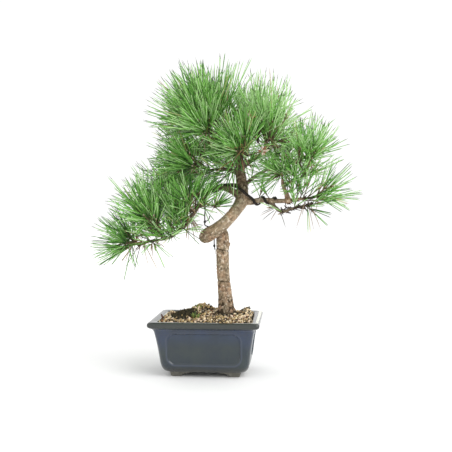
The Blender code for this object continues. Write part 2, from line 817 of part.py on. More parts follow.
def winding_points(limb, winding, clear):
    """Points of a wire wound round a bough."""
    count, first, last, angle_from, angle_to = winding
    points = []
    for k in range(count):
        share = k / (count - 1)
        turn = math.radians(lerp(angle_from, angle_to, share))
        direction = Vector((0.0, -math.sin(turn), math.cos(turn)))
        points.append(limb.around(lerp(first, last, share), direction, clear))
    return points


def crossing_points(trunk, clear):
    """Points of a wire laid across the front of the trunk."""
    last = len(trunk.points) - 1
    start = trunk.nearest(Vector(CROSSING_START)) / last
    stop = trunk.nearest(Vector(CROSSING_END)) / last
    points = []
    for k in range(CROSSING_POINTS):
        share = k / (CROSSING_POINTS - 1)
        turn = math.radians(lerp(*CROSSING_ANGLES, share))
        direction = Vector((math.cos(turn), math.sin(turn), 0.0))
        points.append(trunk.around(lerp(start, stop, share), direction, clear))
    return points


def training_wire_points(limbs):
    """The wire along the left bough, over the front of the trunk and round the right bough."""
    clear = WIRE_RADIUS + WIRE_CLEAR
    left = winding_points(limbs["bough_left_root"], LEFT_WINDING, clear)
    middle = crossing_points(limbs["trunk"], clear + CROSSING_CLEAR)
    right = winding_points(limbs["bough_right"], RIGHT_WINDING, clear)
    return left + middle + right


class Space:
    """The convex space of one mass: a ball round its whorl, cut by a plane to each neighbour."""

    def __init__(self, name):
        entry = MASSES[name]
        self.whorl = Vector(entry["whorl"])
        self.facing = Vector(entry["facing"]).normalized()
        self.reach = entry["reach"]
        self.centre = self.whorl + self.facing * CENTRE_SHARE * self.reach
        self.planes = []

    def part_from(self, other):
        """Adds the plane between this space and a neighbour's."""
        apart = other.centre - self.centre
        share = self.reach / (self.reach + other.reach)
        self.planes.append((self.centre + apart * share, apart.normalized()))

    def holds(self, point, margin):
        """Whether the space holds a point with a margin to spare."""
        if (point - self.whorl).length > self.reach - margin:
            return False
        return all((point - place).dot(normal) < -margin for place, normal in self.planes)


class Limits:
    """All limbs and wires as balls along their routes, which no twig or needle may touch."""

    def __init__(self, limbs):
        self.balls = []
        for limb in limbs:
            for a, b, ra, rb in zip(limb.points, limb.points[1:], limb.radii, limb.radii[1:]):
                steps = max(1, math.ceil((b - a).length / BALL_STEP))
                for k in range(steps):
                    self.balls.append((a.lerp(b, k / steps), lerp(ra, rb, k / steps)))
            self.balls.append((limb.points[-1], limb.radii[-1]))
        self.tree = KDTree(len(self.balls))
        for i, (place, _) in enumerate(self.balls):
            self.tree.insert(place, i)
        self.tree.balance()
        self.widest = max(radius for _, radius in self.balls)

    def touches(self, start, end, start_radius, end_radius, spare=LIMB_CLEAR):
        """Whether a tapering rod from start to end comes too near a limb."""
        steps = max(2, math.ceil((end - start).length / BALL_STEP))
        for k in range(steps + 1):
            point = start.lerp(end, k / steps)
            radius = lerp(start_radius, end_radius, k / steps)
            reach = self.widest * LIMB_BULGE + radius + spare
            for _, i, away in self.tree.find_range(point, reach):
                if away < self.balls[i][1] * LIMB_BULGE + radius + spare:
                    return True
        return False


def dome(facing, spread, count, rng):
    """Directions spread evenly over a dome round the way it faces, turned at random."""
    side = facing.orthogonal().normalized()
    other = facing.cross(side)
    start = rng.uniform(0.0, 2.0 * math.pi)
    lowest = math.cos(math.radians(spread))
    found = []
    for k in range(count):
        share = 0.0 if count == 1 else (k + DOME_FIRST) / (count - DOME_LAST)
        along = lerp(1.0, lowest, share)
        across = math.sqrt(max(0.0, 1.0 - along * along))
        turn = start + k * GOLDEN_ANGLE
        outward = side * math.cos(turn) + other * math.sin(turn)
        found.append((facing * along + outward * across).normalized())
    return found


def triangle_ring(middle, side, other, radius):
    """Three points round a middle, in the plane of two directions."""
    turns = [2.0 * math.pi * k / 3.0 for k in range(3)]
    return [middle + (side * math.cos(t) + other * math.sin(t)) * radius for t in turns]


def rod(start, end, start_radius, end_radius):
    """A tapering three-sided twig."""
    along = (end - start).normalized()
    side = along.orthogonal().normalized()
    other = along.cross(side)
    rings = [
        triangle_ring(start, side, other, start_radius),
        triangle_ring(end, side, other, end_radius),
    ]
    return skin_rings(rings)


def rods_apart(one, other):
    """The clear gap between two tapering rods, each a start, an end and a radius at either."""
    p, p_end, p_wide, p_thin = one
    q, q_end, q_wide, q_thin = other
    u = p_end - p
    v = q_end - q
    w = p - q
    a, b, c, d, e = u.dot(u), u.dot(v), v.dot(v), u.dot(w), v.dot(w)
    below = a * c - b * b
    s = min(1.0, max(0.0, (b * e - c * d) / below)) if below > NEARLY_ZERO ** 2 else 0.0
    t = min(1.0, max(0.0, (b * s + e) / c))
    s = min(1.0, max(0.0, (b * t - d) / a))
    away = (w + u * s - v * t).length
    return away - lerp(p_wide, p_thin, s) - lerp(q_wide, q_thin, t)


def shoot_core(shape, root, along, length, start):
    """Makes a shoot's slim three-sided core, and returns the faces that can bear a needle.

    Each face comes with its share of the way along the shoot.
    """
    side = along.orthogonal().normalized()
    other = along.cross(side)
    rings = []
    for band in range(CORE_BANDS + 1):
        share = band / CORE_BANDS
        radius = lerp(CORE_ROOT_RADIUS, CORE_TIP_RADIUS, share)
        middle = root + along * length * share
        ring = []
        for k in range(3):
            turn = start + math.radians(120.0 * k + 60.0 * band)
            outward = side * math.cos(turn) + other * math.sin(turn)
            ring.append(shape.verts.new(middle + outward * radius))
        rings.append(ring)
    shape.faces.new(list(reversed(rings[0])))
    bearing = []
    for band, (low, high) in enumerate(zip(rings, rings[1:])):
        for k in range(3):
            after = (k + 1) % 3
            pair = (
                shape.faces.new((low[k], low[after], high[k])),
                shape.faces.new((low[after], high[after], high[k])),
            )
            if band >= BARE_BANDS:
                bearing.extend((face, (band + 0.5) / CORE_BANDS) for face in pair)
    bearing.append((shape.faces.new(rings[-1]), 1.0))
    shape.normal_update()
    return bearing


def needle_direction(face, along, share, turned):
    """The way a face's needle leans: wide near the shoot's root and close at its tip."""
    if share == 1.0:
        return along
    bare = BARE_BANDS / CORE_BANDS
    angle = lerp(NEEDLE_ROOT_ANGLE, NEEDLE_TIP_ANGLE, (share - bare) / (1.0 - bare)) + turned
    outward = (face.normal - along * face.normal.dot(along)).normalized()
    return along * math.cos(angle) + outward * math.sin(angle)


def shoot_shape(root, along, length, needle, space, limits, crowd, rng):
    """A shoot: its core, with most of the upper faces drawn out into needles.

    A needle that would leave the space, or touch a limb or anything in the crowd of
    the mass's other rods, is left out. The crowd takes in each needle that is made.
    """
    shape = bmesh.new()
    start = rng.uniform(0.0, 2.0 * math.pi)
    for face, share in shoot_core(shape, root, along, length, start):
        turned = rng.uniform(-NEEDLE_WOBBLE, NEEDLE_WOBBLE)
        spare = rng.random()
        drawn = needle * rng.uniform(*NEEDLE_LENGTHS)
        if share < 1.0 and spare > NEEDLE_SHARE:
            continue
        middle = face.calc_center_median()
        direction = needle_direction(face, along, share, turned)
        shortest = SHORTEST_NEEDLE * needle
        while drawn > shortest and not space.holds(middle + direction * drawn, MASS_MARGIN):
            drawn *= NEEDLE_TRIM
        if drawn <= shortest:
            continue
        end = middle + direction * drawn
        foot = middle + direction * NEEDLE_THICKNESS
        spike = (foot, end, NEEDLE_THICKNESS / 2.0, NEEDLE_TIP_RADIUS)
        if any(rods_apart(spike, other) < NEEDLE_CLEAR for other in crowd):
            continue
        if limits.touches(middle, end, NEEDLE_THICKNESS, 0.0):
            continue
        crowd.append(spike)
        made = bmesh.ops.poke(shape, faces=[face])
        made["verts"][0].co = end
    return shape


def stem_root(name, space, limbs):
    """Where a mass's stem starts, a hair's gap off its limb, and the way it heads."""
    carrier, place = MASS_CARRIERS[name]
    limb = limbs[carrier]
    if place is None:
        heading = limb.tangents[-1]
        return limb.points[-1] + heading * SEAT_GAP * 1.2, heading
    near = limb.nearest(Vector(place))
    heading = space.whorl - limb.points[near]
    heading -= limb.tangents[near] * heading.dot(limb.tangents[near])
    heading.normalize()
    return limb.points[near] + heading * (limb.radii[near] + SEAT_GAP), heading


def hub(middle):
    """The knuckle of bark that the shoots of a whorl are rooted in."""
    shape = bmesh.new()
    place = Matrix.Translation(middle)
    bmesh.ops.create_uvsphere(shape, u_segments=4, v_segments=2, radius=HUB_RADIUS, matrix=place)
    return add_object("hub", shape)


def find_whorls(entry, space, limits, rng):
    """The whorls that a mass's stem forks into, each a place and the way it faces."""
    if entry["forks"] == 1:
        return [(space.whorl, space.facing)]
    whorls = []
    for direction in dome(space.facing, entry["fork_spread"], entry["forks"], rng):
        end = space.whorl + direction * entry["fork"]
        if space.holds(end, CORE_MARGIN) and not limits.touches(end, end, HUB_RADIUS, HUB_RADIUS):
            whorls.append((end, direction))
    return whorls


def find_shoots(entry, whorls, space, limits, rng):
    """The shoots of every whorl, each a root, a direction, a length and its clear core."""
    shoots = []
    shortest = SHORTEST_SHOOT * entry["shoot"]
    for middle, facing in whorls:
        blended = (facing + space.facing * FACING_PULL).normalized()
        for direction in dome(blended, entry["spread"], entry["shoots"], rng):
            length = entry["shoot"] * rng.uniform(*SHOOT_LENGTHS)
            while length > shortest and not space.holds(middle + direction * length, CORE_MARGIN):
                length *= SHOOT_TRIM
            clear = middle + direction * HUB_RADIUS
            end = middle + direction * length
            core = (clear, end, CORE_ROOT_RADIUS, CORE_TIP_RADIUS)
            if length <= shortest or limits.touches(*core, SHOOT_CLEAR):
                continue
            free = all(
                rods_apart(core, other) > NEEDLE_CLEAR or (clear - other[0]).length < SHOOT_FREE
                for *_, other in shoots
            )
            if free:
                shoots.append((middle + direction * HUB_RADIUS * HUB_SINK, direction, length, core))
    return shoots


def build_mass(name, space, limbs, limits, seed):
    """One mass of needles: a stem, its forks, a whorl of shoots on each, all fused."""
    entry = MASSES[name]
    rng = random.Random(seed)
    base, heading = stem_root(name, space, limbs)
    knee = base + heading * STEM_KNEE
    across = heading.orthogonal().normalized()
    other = heading.cross(across)
    rings = [triangle_ring(middle, across, other, STEM_RADIUS) for middle in (base, knee)]
    mass = add_object(name, skin_rings(rings), "needle_green")
    neck = rod(knee - heading * STEM_OVERLAP, space.whorl, STEM_NECK_RADIUS, TWIG_RADIUS)
    pieces = [add_object("stem", neck), hub(space.whorl)]
    whorls = find_whorls(entry, space, limits, rng)
    for middle, direction in whorls:
        if middle is not space.whorl:
            fork = rod(space.whorl - direction * TWIG_OVERLAP, middle, TWIG_RADIUS, TWIG_RADIUS)
            pieces += [add_object("fork", fork), hub(middle)]
    shoots = find_shoots(entry, whorls, space, limits, rng)
    needles = []
    for root, direction, length, core in shoots:
        crowd = [other for *_, other in shoots if other is not core] + needles
        known = len(crowd)
        shape = shoot_shape(root, direction, length, entry["needle"], space, limits, crowd, rng)
        needles += crowd[known:]
        pieces.append(add_object("shoot", shape))
    combine(mass, pieces, "UNION")
    keep_main_body(mass)
    return mass


def grow_needles(limbs, limits):
    """Every mass of needles, each in its own space."""
    spaces = {name: Space(name) for name in MASSES}
    for one in spaces.values():
        for other in spaces.values():
            if one is not other:
                one.part_from(other)
    made = []
    for seed, (name, space) in enumerate(spaces.items(), start=11):
        made.append(build_mass(name, space, limbs, limits, seed))
    return made


def centre_on_root(pieces):
    """Parents the pieces to one empty that centres them over the origin."""
    root = bpy.data.objects.new("bonsai", None)
    bpy.context.scene.collection.objects.link(root)
    corners = [point.co for piece in pieces for point in piece.data.vertices]
    for axis in (0, 1):
        lowest = min(corner[axis] for corner in corners)
        highest = max(corner[axis] for corner in corners)
        root.location[axis] = -(lowest + highest) / 2.0
    for piece in pieces:
        piece.parent = root
    return root


def main():
    """Builds the pot, soil, trunk, boughs, wires and needles."""
    clear_scene()
    limbs = {"trunk": Limb("trunk", TRUNK_ROUTE, TRUNK_STEP)}
    for name, route in BOUGH_ROUTES.items():
        limbs[name] = Limb(name, route, BOUGH_STEP)
    pieces = [build_pot(), build_soil(), build_trunk(limbs["trunk"])]
    for name in BOUGH_ROUTES:
        pieces.append(build_bough(limbs[name], limbs[BOUGH_PARENTS.get(name, "trunk")]))
    training_points = training_wire_points(limbs)
    training, training_route = tube("training_wire", training_points, WIRE_RADIUS, "wire_coat")
    side = Vector(TIE_SIDE)
    tied = limbs["bough_left_end"].around(TIE_START, side, TIE_RADIUS + WIRE_CLEAR)
    tie, tie_route = tube("tie_wire", (tied, *TIE_ROUTE), TIE_RADIUS, "tie_wire")
    pieces += [training, tie]
    limits = Limits(list(limbs.values()) + [training_route, tie_route])
    pieces += grow_needles(limbs, limits)
    centre_on_root(pieces)


main()
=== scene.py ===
"""Looks of a japanese black pine bonsai in its glazed pot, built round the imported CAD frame."""

import enum
import json
import logging
import math
import random
from dataclasses import dataclass, field
from typing import Iterable, Sequence

import bmesh
import bpy
import numpy as np
from mathutils import Matrix, Vector, noise
from mathutils.bvhtree import BVHTree
from mathutils.kdtree import KDTree

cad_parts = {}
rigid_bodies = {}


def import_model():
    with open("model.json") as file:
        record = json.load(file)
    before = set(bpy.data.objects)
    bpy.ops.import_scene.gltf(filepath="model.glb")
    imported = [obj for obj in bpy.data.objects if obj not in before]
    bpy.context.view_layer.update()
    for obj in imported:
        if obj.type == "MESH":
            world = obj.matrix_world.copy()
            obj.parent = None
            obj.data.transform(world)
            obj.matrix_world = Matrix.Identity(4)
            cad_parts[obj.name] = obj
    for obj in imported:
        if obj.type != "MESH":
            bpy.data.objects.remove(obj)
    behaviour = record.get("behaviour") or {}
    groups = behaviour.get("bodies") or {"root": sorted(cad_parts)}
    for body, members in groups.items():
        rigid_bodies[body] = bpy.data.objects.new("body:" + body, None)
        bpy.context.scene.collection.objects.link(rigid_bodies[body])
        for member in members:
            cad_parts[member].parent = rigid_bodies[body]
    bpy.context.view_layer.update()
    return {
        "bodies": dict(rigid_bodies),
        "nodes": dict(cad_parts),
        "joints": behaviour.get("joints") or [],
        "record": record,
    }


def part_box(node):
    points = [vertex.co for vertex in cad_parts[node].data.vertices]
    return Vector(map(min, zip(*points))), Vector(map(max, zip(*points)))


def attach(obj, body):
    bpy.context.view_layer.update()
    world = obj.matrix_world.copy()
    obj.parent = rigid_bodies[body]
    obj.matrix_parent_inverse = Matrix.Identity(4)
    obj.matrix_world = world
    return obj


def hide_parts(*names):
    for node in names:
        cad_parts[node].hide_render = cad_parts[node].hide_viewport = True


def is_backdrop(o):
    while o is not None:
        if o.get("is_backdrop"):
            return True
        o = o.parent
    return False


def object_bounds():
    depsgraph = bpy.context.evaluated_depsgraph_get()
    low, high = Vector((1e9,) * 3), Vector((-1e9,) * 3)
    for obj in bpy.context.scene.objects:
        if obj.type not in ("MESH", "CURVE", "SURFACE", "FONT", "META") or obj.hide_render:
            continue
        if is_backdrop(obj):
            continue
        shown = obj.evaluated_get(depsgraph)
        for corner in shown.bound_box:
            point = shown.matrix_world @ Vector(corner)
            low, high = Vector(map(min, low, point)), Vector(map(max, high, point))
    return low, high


LOG = logging.getLogger("bonsai")
FULL_TURN = 2.0 * math.pi
GOLDEN_ANGLE = math.pi * (3.0 - math.sqrt(5.0))
TINY = 1e-9
UP = Vector((0.0, 0.0, 1.0))
# The signs of X and Y in each quarter round the pot
QUARTERS = ((1, 1), (-1, 1), (-1, -1), (1, -1))

Triple = tuple[float, float, float]
Colour = Triple
Route = Sequence[Sequence[float]]
Socket = bpy.types.NodeSocket


class Slot(enum.Enum):
    """The record's material slots."""

    GLAZE = "glaze"
    GRAVEL = "gravel"
    BARK = "bark"
    BOUGH = "bough_bark"
    WIRE = "wire_coat"
    TIE = "tie_wire"
    NEEDLE = "needle_green"


def from_tenths(rows: Iterable[Sequence[int]]) -> Route:
    """Rows in tenths of a millimetre, as metres."""
    return [tuple(value / 10000.0 for value in row) for row in rows]


# Limbs in tenths of a millimetre: X, Y, Z from the pot's middle and the diameter there
TRUNK_ROUTE = from_tenths((
    (363, 0, 1100, 310), (349, 0, 1247, 285), (334, 0, 1500, 256), (302, 0, 1870, 238),
    (293, 0, 2270, 231), (298, 10, 2465, 239), (267, 80, 2632, 229), (122, 180, 2676, 231),
    (-4, 100, 2603, 245), (-5, -50, 2576, 250), (123, -160, 2654, 247), (278, -190, 2767, 231),
    (436, -170, 2915, 213), (574, -130, 3082, 213), (665, -80, 3249, 236), (678, -40, 3427, 222),
    (661, 0, 3616, 198), (623, 30, 4012, 151), (690, 130, 4310, 90),
))
TRUNK_SEAT_Z = TRUNK_ROUTE[0][2]
BOUGH_ROUTES = {name: from_tenths(rows) for name, rows in {
    "bough_left_root": (
        (636, -60, 3334, 131), (470, -100, 3438, 112), (306, -150, 3488, 97), (143, -200, 3467, 89),
        (-3, -240, 3337, 82),
    ),
    "bough_left_end": (
        (-3, -240, 3337, 82), (-132, -270, 3134, 74), (-279, -300, 2912, 67), (-464, -330, 2709, 59),
        (-685, -360, 2562, 56), (-1020, -385, 2505, 48), (-1125, -395, 2462, 44),
    ),
    "bough_right": (
        (712, -80, 3240, 131), (863, -100, 3224, 112), (1014, -140, 3251, 97), (1202, -180, 3250, 89),
        (1350, -200, 3236, 85), (1570, -220, 3244, 74), (1753, -240, 3271, 59), (1885, -255, 3275, 50),
    ),
    "bough_right_low": (
        (1200, -180, 3240, 68), (1300, -195, 3120, 64), (1423, -210, 3040, 60), (1600, -230, 3092, 52),
        (1780, -250, 3135, 44), (1930, -270, 3165, 36),
    ),
    "bough_right_rise": (
        (1540, -220, 3240, 86), (1500, -220, 3382, 78), (1443, -220, 3530, 66), (1434, -220, 3640, 58),
    ),
    "bough_right_upper": (
        (1450, -220, 3500, 56), (1560, -225, 3585, 52), (1700, -225, 3620, 48), (1780, -220, 3650, 45),
    ),
    "bough_crown_left": (
        (632, 30, 3950, 100), (500, -40, 4130, 88), (390, -100, 4290, 74), (310, -132, 4375, 62),
    ),
    "bough_crown_right": (
        (650, 10, 3860, 98), (850, -75, 4000, 82), (1020, -150, 4100, 62),
    ),
    "bough_crown_front": (
        (645, 0, 3770, 84), (710, -160, 3870, 70), (755, -310, 3990, 56),
    ),
    "bough_crown_back": (
        (640, 20, 3800, 84), (545, 240, 3970, 70), (455, 415, 4105, 56),
    ),
    "bough_mid_left": (
        (650, 10, 3740, 88), (440, -30, 3820, 76), (280, -40, 3840, 64), (150, -48, 3836, 56),
    ),
    "bough_right_back": (
        (670, 20, 3500, 86), (920, 270, 3720, 70), (1200, 470, 3880, 54),
    ),
    "bough_left_back": (
        (660, 10, 3520, 90), (300, 250, 3540, 76), (-100, 410, 3440, 64), (-400, 500, 3310, 54),
    ),
}.items()}
TIE_ROUTE = from_tenths((
    (-5, -200, 3150), (-25, -120, 3000), (-35, -60, 2870), (-35, -30, 2790), (35, 0, 2750),
    (110, 10, 2705), (140, 10, 2620), (135, 10, 2500), (135, 5, 2420), (150, 0, 2320),
    (158, 0, 2230),
))


def lerp(a: float, b: float, t: float) -> float:
    """The value a share t of the way from a to b."""
    return a + (b - a) * t


def smooth_share(low: float, high: float, value: float) -> float:
    """How far a value has gone from low to high, eased at both ends, from 0 to 1."""
    t = min(1.0, max(0.0, (value - low) / (high - low)))
    return t * t * (3.0 - 2.0 * t)


def swing(side: Vector, other: Vector, turn: float) -> Vector:
    """The direction at an angle from one side towards the other."""
    return side * math.cos(turn) + other * math.sin(turn)


def scattered(rng: random.Random) -> Vector:
    """A vector drawn without a favoured direction."""
    return Vector((rng.gauss(0, 1), rng.gauss(0, 1), rng.gauss(0, 1)))


def circle(turn: float) -> Vector:
    """The level direction at an angle from X."""
    return Vector((math.cos(turn), math.sin(turn), 0.0))


def smooth_route(route: Route, step: float, curve_steps: int = 20) -> list[Vector]:
    """Evens out a smooth curve through a route.

    Args:
        route: Points, each of which may carry a width after its place.
        step: The wanted distance between the new points, in metres.
        curve_steps: How finely each stretch of the curve is followed.

    Returns:
        The new points, as long as the route's.
    """
    knots = [Vector(point) for point in route]
    knots = [2.0 * knots[0] - knots[1]] + knots + [2.0 * knots[-1] - knots[-2]]
    dense = []
    for a, b, c, d in zip(knots, knots[1:], knots[2:], knots[3:]):
        bend = 2.0 * a - 5.0 * b + 4.0 * c - d
        twist = 3.0 * b - a - 3.0 * c + d
        for k in range(curve_steps):
            t = k / curve_steps
            dense.append(0.5 * (2.0 * b + (c - a) * t + bend * t ** 2 + twist * t ** 3))
    dense.append(knots[-2])
    lengths = [0.0]
    for a, b in zip(dense, dense[1:]):
        lengths.append(lengths[-1] + (Vector(b[:3]) - Vector(a[:3])).length)
    count = max(2, round(lengths[-1] / step))
    evened = []
    i = 0
    for k in range(count + 1):
        wanted = lengths[-1] * k / count
        while i < len(lengths) - 2 and lengths[i + 1] < wanted:
            i += 1
        share = (wanted - lengths[i]) / max(TINY, lengths[i + 1] - lengths[i])
        evened.append(dense[i].lerp(dense[i + 1], min(1.0, share)))
    return evened


class Limb:
    """A tapering round limb along a smooth route, with a frame at each step."""

    def __init__(self, name: str, route: Route, step: float) -> None:
        """Follows a route at an even step.

        Args:
            name: The limb's name.
            route: Its points, each with the diameter there.
            step: The distance between its frames.
        """
        self.name = name
        evened = smooth_route(route, step)
        self.points = [Vector(point[:3]) for point in evened]
        self.radii = [point[3] / 2.0 for point in evened]
        self.tangents = self.find_tangents()
        self.sides = self.find_sides()

    def find_tangents(self) -> list[Vector]:
        """The limb's direction at each point."""
        ends = [self.points[0], *self.points, self.points[-1]]
        return [(ahead - behind).normalized() for behind, ahead in zip(ends, ends[2:])]

    def find_sides(self) -> list[Vector]:
        """Finds a direction across the limb at each point, turned as little as possible along it.

        Returns:
            One unit vector for each point.
        """
        side = self.tangents[0].orthogonal().normalized()
        found = [side]
        for before, after in zip(self.tangents, self.tangents[1:]):
            side = before.rotation_difference(after) @ side
            side = (side - after * side.dot(after)).normalized()
            found.append(side)
        return found

    def ring(self, i: int, sides: int, grow: float = 1.0) -> list[Vector]:
        """Outlines the limb at a point.

        Args:
            i: The point's index.
            sides: How many points the outline has.
            grow: How much wider than the limb it is.

        Returns:
            The outline's points.
        """
        other = self.tangents[i].cross(self.sides[i])
        return [
            self.points[i] + swing(self.sides[i], other, FULL_TURN * k / sides) * self.radii[i] * grow
            for k in range(sides)
        ]

    def nearest(self, place: Vector) -> int:
        """The index of the limb's point that lies nearest a place."""
        distances = [(point - place).length for point in self.points]
        return distances.index(min(distances))

    def around(self, share: float, direction: Vector, clear: float) -> Vector:
        """Finds a point beside the limb.

        Args:
            share: How far along the limb it lies, from 0 to 1.
            direction: The side that it lies on.
            clear: How far it stands off the limb's skin.

        Returns:
            The point.
        """
        place = share * (len(self.points) - 1)
        i = min(len(self.points) - 2, int(place))
        t = place - i
        tangent = self.tangents[i].lerp(self.tangents[i + 1], t).normalized()
        flat = (direction - tangent * direction.dot(tangent)).normalized()
        centre = self.points[i].lerp(self.points[i + 1], t)
        return centre + flat * (lerp(self.radii[i], self.radii[i + 1], t) + clear)


def loft(shape: bmesh.types.BMesh, rings: Sequence[Sequence[Vector]]) -> None:
    """Extrudes a capped circle through rings of as many points each, and caps its end.

    The operators hand back edges and faces in an order that changes from run to run, so both are sorted.

    Args:
        shape: The bmesh that takes the closed skin.
        rings: The places of each ring's points, in order.
    """
    place = shape.verts.layers.int.get("place") or shape.verts.layers.int.new("place")
    made = bmesh.ops.create_circle(shape, cap_ends=True, segments=len(rings[0]), radius=1.0)["verts"]
    for k, vert in enumerate(made):
        vert[place] = k
        vert.co = rings[0][k]
    everything = list(made)
    edges = list(dict.fromkeys(edge for vert in made for edge in vert.link_edges))
    for ring in rings[1:]:
        edges.sort(key=lambda edge: sorted(vert[place] for vert in edge.verts))
        grown = bmesh.ops.extrude_edge_only(shape, edges=edges)["geom"]
        edges = [part for part in grown if isinstance(part, bmesh.types.BMEdge)]
        for part in grown:
            if isinstance(part, bmesh.types.BMVert):
                part.co = ring[part[place]]
                everything.append(part)
    edges.sort(key=lambda edge: sorted(vert[place] for vert in edge.verts))
    bmesh.ops.edgeloop_fill(shape, edges=edges)
    faces = list(dict.fromkeys(face for vert in everything for face in vert.link_faces))
    bmesh.ops.recalc_face_normals(shape, faces=faces)
    shape.verts.index_update()
    spans = [sorted(vert.index for vert in face.verts) for face in shape.faces]
    shape.faces.index_update()
    shape.faces.sort(key=lambda face: spans[face.index][0] * len(shape.verts) + spans[face.index][-1])


def mesh_of(shape: bmesh.types.BMesh) -> bpy.types.Mesh:
    """Turns a bmesh into a mesh and frees it."""
    mesh = bpy.data.meshes.new("made")
    shape.to_mesh(mesh)
    shape.free()
    return mesh


def keep_masks(mesh: bpy.types.Mesh, masks: dict[str, Sequence[float]]) -> None:
    """Keeps masks as attributes of a mesh's points, for its finish to read."""
    for name, values in masks.items():
        layer = mesh.attributes.new(name, "FLOAT", "POINT")
        layer.data.foreach_set("value", np.array(values, np.float32))


def stand(name: str, data: bpy.types.ID) -> bpy.types.Object:
    """A new object of the scene."""
    item = bpy.data.objects.new(name, data)
    bpy.context.scene.collection.objects.link(item)
    return item


class Bench:
    """Puts finished meshes in the scene, in the CAD's own frame."""

    def __init__(self) -> None:
        """Finds where the pot's middle stands in the frame."""
        low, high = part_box("pot")
        self.home = Vector(((low.x + high.x) / 2.0, (low.y + high.y) / 2.0, 0.0))

    def piece(
        self, name: str, mesh: bpy.types.Mesh, materials: Sequence[bpy.types.Material],
        replaces: Iterable[str] = (), smooth: bool = True,
    ) -> None:
        """Makes a finished piece of the object.

        Args:
            name: The piece's own name.
            mesh: Its mesh, modelled from the pot's middle.
            materials: Its finishes, in the order of the faces' indices.
            replaces: The CAD nodes that it stands for.
            smooth: Whether its faces are shaded smooth.
        """
        mesh.name = name
        mesh.transform(Matrix.Translation(self.home))
        for material in materials:
            mesh.materials.append(material)
        if smooth:
            mesh.shade_smooth()
        item = stand(name, mesh)
        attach(item, "root")
        if replaces:
            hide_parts(*replaces)
        mesh.calc_loop_triangles()
        LOG.info("%s: %d triangles", name, len(mesh.loop_triangles))


@dataclass(frozen=True)
class Template:
    """A small closed shape of triangles that stands on Z = 0 and reaches Z = 1."""

    points: np.ndarray
    triangles: np.ndarray
    parts: np.ndarray

    @staticmethod
    def of(shape: bmesh.types.BMesh, part_heights: Sequence[float] = ()) -> "Template":
        """Reads a bmesh, and frees it.

        Args:
            shape: The shape.
            part_heights: The heights that part its faces into zones, from the lowest.

        Returns:
            The template, with each triangle's zone in parts.
        """
        bmesh.ops.triangulate(shape, faces=shape.faces[:])
        bmesh.ops.recalc_face_normals(shape, faces=shape.faces[:])
        shape.verts.index_update()
        points = np.array([vert.co[:] for vert in shape.verts], float)
        triangles = np.array([[v.index for v in face.verts] for face in shape.faces], int)
        middles = points[triangles].mean(axis=1)[:, 2]
        parts = np.zeros(len(triangles), int)
        for height in part_heights:
            parts += middles > height
        shape.free()
        return Template(points, triangles, parts)

    @staticmethod
    def spire(
        sides: int, outline: Sequence[tuple[float, float]], part_heights: Sequence[float] = ()
    ) -> "Template":
        """A pointed shape with a ring at each height of an outline, and its tip at Z = 1.

        Args:
            sides: How many sides it has.
            outline: Pairs of height and radius, the first at height 0.
            part_heights: The heights that part its faces into zones.

        Returns:
            The template.
        """
        shape = bmesh.new()
        bmesh.ops.create_cone(
            shape, cap_ends=True, segments=sides, radius1=1.0, radius2=0.0, depth=1.0
        )
        bmesh.ops.translate(shape, verts=shape.verts[:], vec=UP * 0.5)
        for height, _ in outline[1:]:
            everything = shape.verts[:] + shape.edges[:] + shape.faces[:]
            bmesh.ops.bisect_plane(shape, geom=everything, plane_co=(0.0, 0.0, height), plane_no=UP)
        heights = [height for height, _ in outline]
        radii = [radius for _, radius in outline]
        for vert in shape.verts:
            across = vert.co.xy.length
            if across > TINY:
                wanted = float(np.interp(vert.co.z, heights, radii))
                vert.co.x *= wanted / across
                vert.co.y *= wanted / across
        return Template.of(shape, part_heights)


